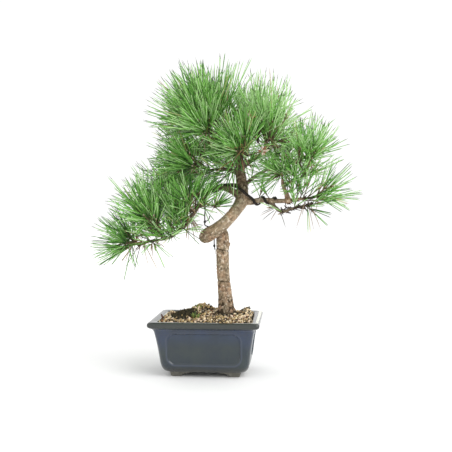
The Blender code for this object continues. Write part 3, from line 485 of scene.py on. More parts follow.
@dataclass
class Swarm:
    """Many copies of one template, each with its own frame, bend and finishes."""

    template: Template
    frames: list[tuple[float, ...]] = field(default_factory=list)
    finishes: list[Sequence[int]] = field(default_factory=list)

    def add(
        self, foot: Vector, axes: Sequence[Vector], bend: Vector | None = None,
        finishes: Sequence[int] = (0,),
    ) -> None:
        """Places a copy.

        Args:
            foot: Where the template's origin goes.
            axes: What its X, Y and Z axes become.
            bend: How far its tip is carried off the straight.
            finishes: The material index of each of its zones.
        """
        curl = bend if bend is not None else (0.0, 0.0, 0.0)
        self.frames.append((*foot, *axes[0], *axes[1], *axes[2], *curl))
        self.finishes.append(finishes)

    def rod(
        self, foot: Vector, along: Vector, radius: float, turn: float = 0.0,
        bend: Vector | None = None, finishes: Sequence[int] = (0,),
    ) -> None:
        """Places a copy as a rod.

        Args:
            foot: Where it starts.
            along: Its length and direction.
            radius: Its radius.
            turn: The angle that it is turned round its own axis.
            bend: How far its tip is carried off the straight.
            finishes: The material index of each of its zones.
        """
        side = along.orthogonal().normalized()
        other = along.normalized().cross(side)
        over = other * math.cos(turn) - side * math.sin(turn)
        self.add(foot, (swing(side, other, turn) * radius, over * radius, along), bend, finishes)

    def mesh(self) -> bpy.types.Mesh:
        """Joins all copies into one mesh.

        Returns:
            The mesh, with each face's material index.
        """
        frames = np.array(self.frames, float).reshape(-1, 1, 5, 3)
        points = self.template.points[None]
        height = points[..., 2, None]
        placed = frames[:, :, 0] + (
            points[..., 0, None] * frames[:, :, 1] + points[..., 1, None] * frames[:, :, 2]
            + height * frames[:, :, 3] + height ** 2 * frames[:, :, 4]
        )
        offsets = np.arange(len(frames)) * placed.shape[1]
        corners = (self.template.triangles[None] + offsets[:, None, None]).reshape(-1, 3)
        zones = max(len(entry) for entry in self.finishes)
        dealt = np.array([[*entry] + [entry[-1]] * (zones - len(entry)) for entry in self.finishes])
        indices = dealt[:, np.minimum(self.template.parts, zones - 1)].ravel()
        mesh = bpy.data.meshes.new("swarm")
        mesh.vertices.add(placed.shape[0] * placed.shape[1])
        mesh.vertices.foreach_set("co", placed.astype(np.float32).ravel())
        mesh.loops.add(corners.size)
        mesh.loops.foreach_set("vertex_index", corners.astype(np.int32).ravel())
        mesh.polygons.add(len(corners))
        mesh.polygons.foreach_set("loop_start", np.arange(0, corners.size, 3, dtype=np.int32))
        mesh.polygons.foreach_set("material_index", indices.astype(np.int32))
        mesh.update(calc_edges=True)
        return mesh


class NodeBoard:
    """A short way to place and join shader nodes in one tree."""

    def __init__(self, tree: bpy.types.NodeTree) -> None:
        """Works on the given tree."""
        self.tree = tree

    def feed(self, entry: Socket, value: object) -> None:
        """Joins an output to an input, or sets the input's own number or colour."""
        if isinstance(value, Socket):
            self.tree.links.new(value, entry)
        else:
            entry.default_value = (*value, 1.0) if isinstance(value, tuple) else value

    def add(self, kind: str, inputs: dict | None = None, **settings: object) -> bpy.types.Node:
        """Adds a node.

        Args:
            kind: The node's type, without the words ShaderNode.
            inputs: Values or output sockets for its inputs, by name or number.
            settings: Its other properties.

        Returns:
            The new node.
        """
        node = self.tree.nodes.new("ShaderNode" + kind)
        for name, value in settings.items():
            setattr(node, name, value)
        for name, value in (inputs or {}).items():
            self.feed(node.inputs[name], value)
        return node

    def noise(self, scale: object, detail: float = 2.0, roughness: float = 0.5) -> Socket:
        """Noise over Object coordinates."""
        place = self.add("TexCoord").outputs["Object"]
        inputs = {"Vector": place, "Scale": scale, "Detail": detail, "Roughness": roughness}
        return self.add("TexNoise", inputs).outputs["Fac"]

    def mask(self, name: str) -> Socket:
        """A mask that the mesh carries."""
        return self.add("Attribute", attribute_name=name).outputs["Fac"]

    def value(self, operation: str, a: object, b: object) -> Socket:
        """The output of a Math node."""
        return self.add("Math", {0: a, 1: b}, operation=operation).outputs[0]

    def times(self, a: object, b: object) -> Socket:
        """Two values multiplied."""
        return self.value("MULTIPLY", a, b)

    def span(
        self, value: Socket, low: float, high: float, to_low: float = 0.0, to_high: float = 1.0
    ) -> Socket:
        """A value's range carried over to another range, and held at its ends."""
        inputs = {"From Min": low, "From Max": high, "To Min": to_low, "To Max": to_high}
        return self.add("MapRange", {"Value": value, **inputs}).outputs[0]

    def mix(self, factor: object, a: object, b: object) -> Socket:
        """The output of a colour Mix node."""
        return self.add("Mix", {0: factor, 6: a, 7: b}, data_type="RGBA").outputs[2]

    def layers(self, colour: Socket, coats: Iterable[tuple[Socket, Colour]]) -> Socket:
        """A colour with tones laid over it in turn, each by its own mask."""
        for cover, tone in coats:
            colour = self.mix(cover, colour, tone)
        return colour

    def ramp(self, factor: Socket, stops: Sequence[tuple[float, Colour]]) -> Socket:
        """Adds a colour ramp.

        Args:
            factor: What it reads.
            stops: Its colours, each with its place from 0 to 1.

        Returns:
            The ramp's colour.
        """
        node = self.add("ValToRGB", {"Fac": factor})
        elements = node.color_ramp.elements
        while len(elements) < len(stops):
            elements.new(0.5)
        for element, (place, colour) in zip(elements, stops):
            element.position = place
            element.color = (*colour, 1.0)
        return node.outputs["Color"]

    def speckle(self, cloud_scale: float, grain_scale: float) -> Sequence[Socket]:
        """Places the shared group at a finish's own scales.

        Args:
            cloud_scale: How fine its clouds are.
            grain_scale: How fine its grain is.

        Returns:
            The outputs for cloud, grain and height.
        """
        inputs = {"Cloud Scale": cloud_scale, "Grain Scale": grain_scale}
        group = self.add("Group", node_tree=speckle_group())
        for name, value in inputs.items():
            group.inputs[name].default_value = value
        return group.outputs[:]

    def surface(
        self, shader: bpy.types.Node, colour: Socket, speckle: Sequence[Socket],
        roughness: tuple[float, float], depth: float, strength: float,
    ) -> None:
        """Feeds a colour, a grainy roughness and a fine relief to a shader.

        Args:
            shader: The material's shader.
            colour: Its colour.
            speckle: The shared group's outputs.
            roughness: Its least and most roughness.
            depth: How deep the relief is, in metres.
            strength: How strongly the relief shows.
        """
        _, grain, height = speckle
        bump = self.add("Bump", {"Height": height, "Distance": depth, "Strength": strength})
        self.feed(shader.inputs["Base Color"], colour)
        self.feed(shader.inputs["Roughness"], self.span(grain, 0.0, 1.0, *roughness))
        self.feed(shader.inputs["Normal"], bump.outputs[0])


def fresh_material(name: str) -> tuple[bpy.types.Material, NodeBoard, bpy.types.Node]:
    """A new material, its board and its shader node."""
    material = bpy.data.materials.new(name)
    material.use_nodes = True
    tree = material.node_tree
    return material, NodeBoard(tree), tree.nodes["Principled BSDF"]


def speckle_group() -> bpy.types.NodeTree:
    """Makes the shared group that puts out cloudy and grainy masks over Object coordinates.

    Returns:
        The group's tree, made once.
    """
    found = bpy.data.node_groups.get("speckle")
    if found:
        return found
    tree = bpy.data.node_groups.new("speckle", "ShaderNodeTree")
    sockets = (("Cloud Scale", "INPUT"), ("Grain Scale", "INPUT"),
               ("Cloud", "OUTPUT"), ("Grain", "OUTPUT"), ("Height", "OUTPUT"))
    for name, way in sockets:
        tree.interface.new_socket(name, in_out=way, socket_type="NodeSocketFloat")
    board = NodeBoard(tree)
    scales = tree.nodes.new("NodeGroupInput").outputs
    leave = tree.nodes.new("NodeGroupOutput")
    cloud = board.noise(scales[0], 4.0, 0.6)
    grain = board.noise(scales[1], 2.0, 0.7)
    height = board.value("ADD", board.times(cloud, 0.6), board.times(grain, 0.4))
    for entry, value in zip(leave.inputs, (cloud, grain, height)):
        board.feed(entry, value)
    return tree


@dataclass(frozen=True)
class MottledFinish:
    """A finish whose colour clouds between several tones, with grain in its relief."""

    name: str
    stops: tuple[tuple[float, Colour], ...]
    roughness: tuple[float, float]
    metallic: float
    cloud_scale: float
    grain_scale: float
    grain_depth: float

    def material(self) -> bpy.types.Material:
        """Makes the finish.

        Returns:
            Its material.
        """
        material, board, shader = fresh_material(self.name)
        speckle = board.speckle(self.cloud_scale, self.grain_scale)
        colour = board.ramp(board.span(speckle[2], 0.3, 0.7), self.stops)
        board.surface(shader, colour, speckle, self.roughness, self.grain_depth, 0.7)
        shader.inputs["Metallic"].default_value = self.metallic
        return material


@dataclass(frozen=True)
class PlainTone:
    """One plain tone that is dealt out over many small copies."""

    name: str
    colour: Colour
    roughness: float = 0.5
    specular: float = 0.35

    def material(self) -> bpy.types.Material:
        """Makes the tone.

        Returns:
            Its material.
        """
        material, board, shader = fresh_material(self.name)
        board.feed(shader.inputs["Base Color"], self.colour)
        board.feed(shader.inputs["Roughness"], self.roughness)
        board.feed(shader.inputs["Specular IOR Level"], self.specular)
        return material


def mixed(tones: Iterable[PlainTone]) -> list[bpy.types.Material]:
    """The materials of several tones."""
    return [tone.material() for tone in tones]


@dataclass(frozen=True)
class GlazeFinish:
    """Navy grey glaze, bluer where it pools and brown where it breaks over edges, with painted highlights in
    bluer glaze near the upper corners and in paler blue along the panels' beads.
    """

    name: str = "glaze_navy"
    body: Colour = (0.013, 0.024, 0.035)
    grey: Colour = (0.022, 0.034, 0.036)
    blue: Colour = (0.012, 0.031, 0.084)
    rim: Colour = (0.018, 0.027, 0.025)
    brown: Colour = (0.036, 0.032, 0.022)
    # Paler blue for the bead round each panel: a painted highlight on its slope.
    bead: Colour = (0.045, 0.060, 0.095)

    def material(self) -> bpy.types.Material:
        """Makes the glaze, which reads the masks of the pot's own mesh.

        Returns:
            Its material.
        """
        material, board, shader = fresh_material(self.name)
        speckle = board.speckle(28.0, 420.0)
        cloud, grain, _ = speckle
        colour = board.mix(board.span(cloud, 0.38, 0.68), self.body, self.grey)
        # Besides real pooling, this mask carries bluer glaze near the upper corners, which is a painted
        # highlight.
        pooled_and_highlit = board.times(board.mask("pool_and_highlight"), board.span(cloud, 0.30, 0.55, 0.35))
        worn = board.times(board.mask("broken"), board.span(grain, 0.35, 0.6, 0.3))
        colour = board.layers(colour, (
            (pooled_and_highlit, self.blue),
            # Painted highlight: paler blue along the panels' beads, with less of it higher up.
            (board.times(board.mask("bead"), 0.75), self.bead),
            (board.mask("rim"), self.rim),
            (worn, self.brown),
            (board.times(board.span(grain, 0.66, 0.74), 0.4), self.grey),
        ))
        board.surface(shader, colour, speckle, (0.16, 0.30), 0.0005, 0.25)
        shader.inputs["Coat Weight"].default_value = 0.5
        shader.inputs["Coat Roughness"].default_value = 0.05
        return material


@dataclass(frozen=True)
class BarkFinish:
    """Flaky pine bark: warm plates over dark fissures, greyer and darker on young wood."""

    name: str = "bark_pine"
    crack: Colour = (0.055, 0.038, 0.022)
    plate: Colour = (0.22, 0.155, 0.088)
    pale: Colour = (0.66, 0.50, 0.34)
    pink: Colour = (0.66, 0.38, 0.24)
    bleached: Colour = (0.86, 0.76, 0.62)
    lichen: Colour = (0.30, 0.30, 0.23)
    young: Colour = (0.13, 0.100, 0.068)
    young_pale: Colour = (0.34, 0.27, 0.19)
    moss: Colour = (0.10, 0.14, 0.045)

    def material(self) -> bpy.types.Material:
        """Makes the bark, which reads the masks of the limbs' own mesh.

        Returns:
            Its material.
        """
        material, board, shader = fresh_material(self.name)
        speckle = board.speckle(190.0, 1100.0)
        cloud, grain, _ = speckle
        age = board.mask("age")
        clouded = board.span(cloud, 0.36, 0.66)
        tone = board.value("ADD", board.times(clouded, 0.50), board.times(board.mask("flake"), 0.50))
        wide = board.noise(42.0)
        old = board.layers(board.mix(tone, self.plate, self.pale), (
            (board.times(board.span(wide, 0.48, 0.64), 0.45), self.pink),
            (board.times(board.span(wide, 0.46, 0.32), 0.40), self.lichen),
        ))
        young = board.mix(tone, self.young, self.young_pale)
        flaked = board.times(board.span(cloud, 0.56, 0.66), board.times(age, 0.75))
        colour = board.layers(board.mix(age, young, old), (
            (board.times(board.span(grain, 0.40, 0.62), 0.38), self.crack),
            (flaked, self.bleached),
            (board.times(board.mask("moss"), clouded), self.moss),
            (board.mask("fissure"), self.crack),
        ))
        board.surface(shader, colour, speckle, (0.75, 0.97), 0.0007, 0.8)
        shader.inputs["Specular IOR Level"].default_value = 0.25
        return material


@dataclass
class Skeleton:
    """All limbs and wire routes of the plant, as the source lays them out."""

    trunk_step: float = 0.0092
    bough_step: float = 0.012
    wire_step: float = 0.006
    wire_radius: float = 0.0016
    wire_clear: float = 0.0007
    tie_radius: float = 0.0011
    tie_start: float = 0.10
    tie_side: Triple = (0.7, -0.5, 0.0)
    # Each winding: points, shares of the bough that it runs between, angles that it turns through
    left_winding: tuple[float, ...] = (13, 0.86, 0.40, -300.0, 8.0)
    right_winding: tuple[float, ...] = (19, 0.16, 0.52, 60.0, 780.0)
    crossing_points: int = 4
    crossing_start: Triple = (0.0670, -0.002, 0.3500)
    crossing_end: Triple = (0.0668, -0.007, 0.3300)
    crossing_angles: tuple[float, float] = (212.0, 305.0)
    crossing_clear: float = 0.0012

    def __post_init__(self) -> None:
        """Follows every route."""
        self.limbs = {"trunk": Limb("trunk", TRUNK_ROUTE, self.trunk_step)}
        for name, route in BOUGH_ROUTES.items():
            self.limbs[name] = Limb(name, route, self.bough_step)
        self.training = self.wire("training", self.training_points(), self.wire_radius)
        end = self.limbs["bough_left_end"]
        tied = end.around(self.tie_start, Vector(self.tie_side), self.tie_radius + self.wire_clear)
        self.tie_points = [tied] + [Vector(point) for point in TIE_ROUTE]
        self.tie = self.wire("tie", self.tie_points, self.tie_radius)

    def wire(self, name: str, points: Sequence[Vector], radius: float) -> Limb:
        """A wire of one thickness along a smooth curve."""
        return Limb(name, [(*point, 2.0 * radius) for point in points], self.wire_step)

    def winding(self, limb: Limb, turns: tuple[float, ...], clear: float) -> list[Vector]:
        """Winds a wire round a bough.

        Args:
            limb: The bough.
            turns: One of the windings above.
            clear: How far the wire's middle stands off the bark.

        Returns:
            The wire's points.
        """
        count, first, last, angle_from, angle_to = turns
        points = []
        for k in range(count):
            share = k / (count - 1)
            turn = math.radians(lerp(angle_from, angle_to, share))
            direction = Vector((0.0, -math.sin(turn), math.cos(turn)))
            points.append(limb.around(lerp(first, last, share), direction, clear))
        return points

    def training_points(self) -> list[Vector]:
        """Lays the wire along the left bough, over the trunk's front and round the right bough.

        Returns:
            The wire's points.
        """
        clear = self.wire_radius + self.wire_clear
        trunk = self.limbs["trunk"]
        last = len(trunk.points) - 1
        start, stop = (
            trunk.nearest(Vector(place)) / last for place in (self.crossing_start, self.crossing_end)
        )
        middle = []
        for k in range(self.crossing_points):
            share = k / (self.crossing_points - 1)
            way = circle(math.radians(lerp(*self.crossing_angles, share)))
            middle.append(trunk.around(lerp(start, stop, share), way, clear + self.crossing_clear))
        left = self.winding(self.limbs["bough_left_root"], self.left_winding, clear)
        right = self.winding(self.limbs["bough_right"], self.right_winding, clear)
        return left + middle + right

    def routes(self) -> list[Limb]:
        """Every limb and wire."""
        return [*self.limbs.values(), self.training, self.tie]


class Limits:
    """All limbs and wires as balls along their routes, which no twig or needle may touch."""

    ball_step = 0.003
    bulge = 1.12

    def __init__(self, limbs: Sequence[Limb]) -> None:
        """Lines the routes with balls.

        Args:
            limbs: The limbs and wires.
        """
        self.balls: list[tuple[Vector, float]] = []
        for limb in limbs:
            for a, b, ra, rb in zip(limb.points, limb.points[1:], limb.radii, limb.radii[1:]):
                steps = max(1, math.ceil((b - a).length / self.ball_step))
                for k in range(steps):
                    self.balls.append((a.lerp(b, k / steps), lerp(ra, rb, k / steps)))
            self.balls.append((limb.points[-1], limb.radii[-1]))
        self.tree = KDTree(len(self.balls))
        for i, (place, _) in enumerate(self.balls):
            self.tree.insert(place, i)
        self.tree.balance()
        self.widest = max(radius for _, radius in self.balls)

    def touches(
        self, start: Vector, end: Vector, radii: tuple[float, float], spare: float,
        pitch: float = ball_step,
    ) -> bool:
        """Tries a tapering rod against the limbs.

        Args:
            start: Where the rod starts.
            end: Where it ends.
            radii: Its radius at either end.
            spare: The gap that it has to leave.
            pitch: The distance between the places that are tried.

        Returns:
            Whether it comes too near a limb.
        """
        steps = max(2, math.ceil((end - start).length / pitch))
        for k in range(steps + 1):
            point = start.lerp(end, k / steps)
            radius = lerp(*radii, k / steps)
            reach = self.widest * self.bulge + radius + spare
            for _, i, away in self.tree.find_range(point, reach):
                if away < self.balls[i][1] * self.bulge + radius + spare:
                    return True
        return False


def dome(facing: Vector, spread: float, count: int, rng: random.Random) -> list[Vector]:
    """Spreads directions evenly over a dome, turned at random.

    Args:
        facing: The way that the dome faces.
        spread: The angle from its middle to its edge, in degrees.
        count: How many directions it has.
        rng: Draws the turn.

    Returns:
        The directions.
    """
    side = facing.orthogonal().normalized()
    other = facing.cross(side)
    start = rng.uniform(0.0, FULL_TURN)
    lowest = math.cos(math.radians(spread))
    found = []
    for k in range(count):
        share = 0.0 if count == 1 else (k + 0.35) / (count - 0.30)
        along = lerp(1.0, lowest, share)
        across = math.sqrt(max(0.0, 1.0 - along * along))
        outward = swing(side, other, start + k * GOLDEN_ANGLE)
        found.append((facing * along + outward * across).normalized())
    return found


def rods_apart(p: Vector, p_end: Vector, q: Vector, q_end: Vector, radii: tuple[float, float]) -> float:
    """Measures the clear gap between two rods of the same taper.

    Args:
        p: Where the first starts.
        p_end: Where it ends.
        q: Where the second starts.
        q_end: Where it ends.
        radii: The radius of both at their start and end.

    Returns:
        The gap.
    """
    u, v, w = p_end - p, q_end - q, p - q
    a, b, c, d, e = u.dot(u), u.dot(v), v.dot(v), u.dot(w), v.dot(w)
    below = a * c - b * b
    s = min(1.0, max(0.0, (b * e - c * d) / below)) if below > TINY ** 2 else 0.0
    t = min(1.0, max(0.0, (b * s + e) / c))
    s = min(1.0, max(0.0, (b * t - d) / a))
    return (w + u * s - v * t).length - lerp(*radii, s) - lerp(*radii, t)


@dataclass(frozen=True)
class Mass:
    """One mass of needles: where its whorl stands and by which rule it grows."""

    whorl: Triple
    facing: Triple
    reach: float
    forks: int
    fork: float
    fork_spread: float
    shoots: int
    spread: float
    shoot: float
    needle: float
    carrier: str
    place: Triple | None = None
    extra: int = 1
    tint: float = 0.0
    thin: float = 1.0
    infill_thin: float = 0.85
    # Where the mass is bald but for a few needles: a place and the way that lies beyond it
    bald: tuple[Triple, Triple] | None = None
    # Shoots straight off the limbs: a root in tenths of a millimetre, a heading in hundredths and
    # a length in millimetres
    infill: tuple[tuple[int, ...], ...] = ()


MASSES = {
    "crown_left": Mass(
        (0.0256, -0.0150, 0.4434), (-0.60, -0.10, 0.78), 0.166, 4, 0.024, 56, 3, 38, 0.056, 0.088,
        "bough_crown_left", extra=3, tint=0.3, thin=0.84, infill=(
            (200, -130, 4640, -10, -5, 100, 50), (330, -110, 4580, 30, -5, 100, 48),
            (120, -130, 4560, -50, -10, 85, 52), (500, -60, 4130, -30, -80, 20, 30),
            (440, -80, 4210, -55, -60, -5, 30), (560, -20, 4050, 10, -85, 35, 30),
            (400, -90, 4270, 35, -45, 80, 36), (380, -20, 4270, -70, 30, 10, 30),
        )),
    "crown_top": Mass(
        (0.0700, 0.0165, 0.4400), (-0.04, 0.16, 0.98), 0.140, 2, 0.014, 34, 4, 36, 0.046, 0.084,
        "trunk", extra=1, tint=1.1, thin=0.42
    ),
    "crown_right": Mass(
        (0.1094, -0.0180, 0.4142), (0.30, -0.06, 0.95), 0.158, 4, 0.022, 50, 3, 36, 0.054, 0.088,
        "bough_crown_right", extra=2, tint=1.4, thin=0.42,
        bald=((0.162, 0.0, 0.540), (0.97, 0.0, 0.24)), infill=(
            (860, -100, 4010, 25, -90, 10, 28), (930, -120, 4050, 60, -60, -30, 26),
        )),
    "crown_front": Mass(
        (0.0775, -0.0380, 0.4065), (-0.06, -0.66, 0.75), 0.112, 2, 0.010, 40, 4, 42, 0.034, 0.078,
        "bough_crown_front", extra=1, tint=0.1, thin=0.8, infill=(
            (715, -200, 3900, 55, -75, -5, 24), (700, -180, 3880, -65, -70, 0, 24),
        )),
    "crown_back": Mass(
        (0.0421, 0.0480, 0.4157), (-0.38, 0.78, 0.46), 0.136, 2, 0.018, 45, 4, 46, 0.044, 0.084,
        "bough_crown_back", extra=2, thin=0.72
    ),
    "mid_left": Mass(
        (0.0060, -0.0050, 0.3830), (-0.90, -0.08, 0.30), 0.150, 4, 0.036, 66, 3, 46, 0.036, 0.082,
        "bough_mid_left", extra=3, tint=0.25, thin=0.74, infill_thin=0.80, infill=(
            (440, -40, 3850, -30, -60, 60, 32), (330, -40, 3860, -20, -45, 85, 34),
            (220, -50, 3850, -15, -70, 60, 32), (500, -30, 3830, -25, -90, 10, 28),
            (420, -50, 3800, -35, -60, -55, 24), (280, -60, 3820, -30, -65, -45, 24),
            (160, -60, 3820, -55, -55, -30, 26), (250, 0, 3850, -20, 50, 80, 30),
        )),
    "left_inner": Mass(
        (-0.0250, -0.0400, 0.3060), (0.20, -0.35, 0.90), 0.098, 2, 0.012, 50, 4, 46, 0.026, 0.070,
        "bough_left_end", (-0.0190, -0.028, 0.3040), extra=1, thin=0.6
    ),
    "left_bud": Mass(
        (0.0180, -0.0300, 0.3138), (0.62, -0.35, 0.40), 0.046, 1, 0.000, 0, 4, 50, 0.009, 0.038,
        "bough_left_end", (-0.0085, -0.026, 0.3210), extra=1, infill=(
            (-132, -290, 3130, -25, -80, 35, 20), (-200, -310, 3030, 15, -85, 20, 20),
            (-60, -270, 3230, -45, -70, 40, 22),
        )),
    "left_middle": Mass(
        (-0.0510, -0.0340, 0.2830), (-0.25, -0.10, 0.96), 0.112, 2, 0.012, 40, 4, 40, 0.034, 0.078,
        "bough_left_end", (-0.0480, -0.033, 0.2700), extra=1, tint=0.35, thin=0.50, infill_thin=0.68, infill=(
            (-290, -362, 2872, -15, -50, 85, 20), (-385, -375, 2748, 12, -50, 85, 20),
            (-420, -340, 2750, 45, -70, -10, 22), (-600, -360, 2615, -15, -45, 85, 34),
            (-480, -350, 2705, 25, -55, 75, 30), (-340, -330, 2850, -25, -60, 70, 30),
            (-220, -300, 3000, -45, -65, 35, 26), (-450, -370, 2720, -50, -80, 20, 22),
            (-350, -350, 2810, -50, -80, 25, 22), (-270, -340, 2920, -70, -65, 15, 22),
            (-350, -280, 2840, 20, 80, 10, 24),
        )),
    "left_lower": Mass(
        (-0.0847, -0.0370, 0.2640), (-0.34, -0.10, 0.93), 0.150, 3, 0.020, 52, 3, 38, 0.046, 0.086,
        "bough_left_end", (-0.0820, -0.037, 0.2545), extra=2, tint=0.35, thin=0.42, infill_thin=0.62, infill=(
            (-490, -400, 2645, -10, -50, 85, 20), (-600, -415, 2565, 15, -50, 85, 20),
            (-620, -380, 2600, 25, -80, 10, 26), (-720, -370, 2560, -35, -50, 75, 32),
            (-880, -390, 2530, -30, -45, 80, 32), (-1000, -400, 2510, -55, -50, 60, 28),
            (-650, -390, 2575, -55, -80, 20, 22), (-560, -380, 2635, -45, -80, 25, 22),
            (-930, -400, 2510, -10, -85, -20, 24), (-760, -340, 2560, -30, 80, 20, 26),
        )),
    "left_tip": Mass(
        (-0.1226, -0.0400, 0.2425), (-0.93, -0.05, 0.36), 0.100, 2, 0.010, 50, 4, 52, 0.026, 0.074,
        "bough_left_end", extra=2, tint=0.0
    ),
    "left_back": Mass(
        (-0.0490, 0.0545, 0.3305), (-0.46, 0.60, 0.66), 0.136, 2, 0.020, 50, 5, 44, 0.040, 0.084,
        "bough_left_back", extra=2, thin=0.75
    ),
    "right_inner": Mass(
        (0.1428, -0.0220, 0.3732), (-0.75, -0.30, 0.45), 0.074, 1, 0.000, 0, 6, 62, 0.022, 0.064,
        "bough_right_rise", extra=3, tint=0.5, thin=0.74, infill_thin=0.74, infill=(
            (800, 160, 3620, 30, -70, 10, 18), (1000, -150, 3280, 20, -50, 75, 16),
            (1440, -230, 3560, 55, -80, 10, 20), (1620, -230, 3600, 20, -70, 45, 22),
            (1500, -230, 3390, 30, -75, 20, 20), (1620, -240, 3280, 5, -35, 90, 26),
            (1690, -240, 3290, 15, -45, 85, 24), (1760, -250, 3300, 30, -40, 80, 26),
            (1680, -230, 3640, -15, -60, 75, 26), (1560, -230, 3600, -30, -55, 80, 26),
            (1450, -230, 3040, -35, -60, -20, 14), (1200, -190, 3270, -35, -50, 55, 14),
            (1330, -200, 3130, -70, -40, -10, 14), (1650, -240, 3110, 10, -60, 45, 16),
        )),
    "right_upper": Mass(
        (0.1850, -0.0220, 0.3720), (0.15, -0.08, 0.98), 0.128, 3, 0.022, 46, 3, 44, 0.038, 0.078,
        "bough_right_upper", extra=1, tint=0.65, thin=0.38, infill_thin=0.42, infill=(
            (1780, -230, 3670, 10, -80, 30, 24), (1760, -230, 3650, -55, -60, 25, 22),
            (1800, -230, 3680, 75, -55, 15, 24),
        )),
    "right_tip": Mass(
        (0.1989, -0.0260, 0.3306), (0.88, -0.08, 0.44), 0.100, 2, 0.010, 50, 4, 52, 0.026, 0.074,
        "bough_right", extra=0, tint=0.05, thin=0.27, infill_thin=0.24, infill=(
            (1850, -270, 3150, 60, -30, -50, 16), (1920, -270, 3170, 75, -45, 10, 16),
            (1840, -270, 3260, 70, -35, 55, 34), (1800, -270, 3270, 35, -45, 85, 30),
            (1850, -270, 3240, 90, -40, 5, 34),
        )),
    "right_back": Mass(
        (0.1277, 0.0520, 0.3916), (0.26, 0.76, 0.58), 0.132, 2, 0.018, 45, 4, 46, 0.042, 0.082,
        "bough_right_back", extra=1, tint=0.4, thin=0.55
    ),
}


class Space:
    """The space of one mass: a ball round its whorl, cut by a plane to each neighbour."""

    def __init__(self, mass: Mass) -> None:
        """Centres the space between the whorl and the way that the mass faces.

        Args:
            mass: The mass that it belongs to.
        """
        self.whorl = Vector(mass.whorl)
        self.facing = Vector(mass.facing).normalized()
        self.reach = mass.reach
        self.centre = self.whorl + self.facing * 0.35 * self.reach
        self.planes: list[tuple[Vector, Vector]] = []

    def part_from(self, other: "Space") -> None:
        """Adds the plane between this space and a neighbour's."""
        apart = other.centre - self.centre
        share = self.reach / (self.reach + other.reach)
        self.planes.append((self.centre + apart * share, apart.normalized()))

    def holds(self, point: Vector, margin: float, over: float = 0.0) -> bool:
        """Whether the space holds a point with a margin, or over its planes by some length."""
        if (point - self.whorl).length > self.reach - margin:
            return False
        return all((point - place).dot(normal) < over - margin for place, normal in self.planes)


@dataclass
class Spray:
    """One shoot, for the needles that it bears."""

    root: Vector
    along: Vector
    bend: Vector
    radius: float
    tone: float
    over: float
    vigour: float
    thin: float

    def at(self, share: float) -> Vector:
        """The place a share of the way up the shoot."""
        return self.root + self.along * share + self.bend * share ** 2

    def heading(self, share: float) -> Vector:
        """The way that the shoot runs at a share of its length."""
        return (self.along + self.bend * 2.0 * share).normalized()


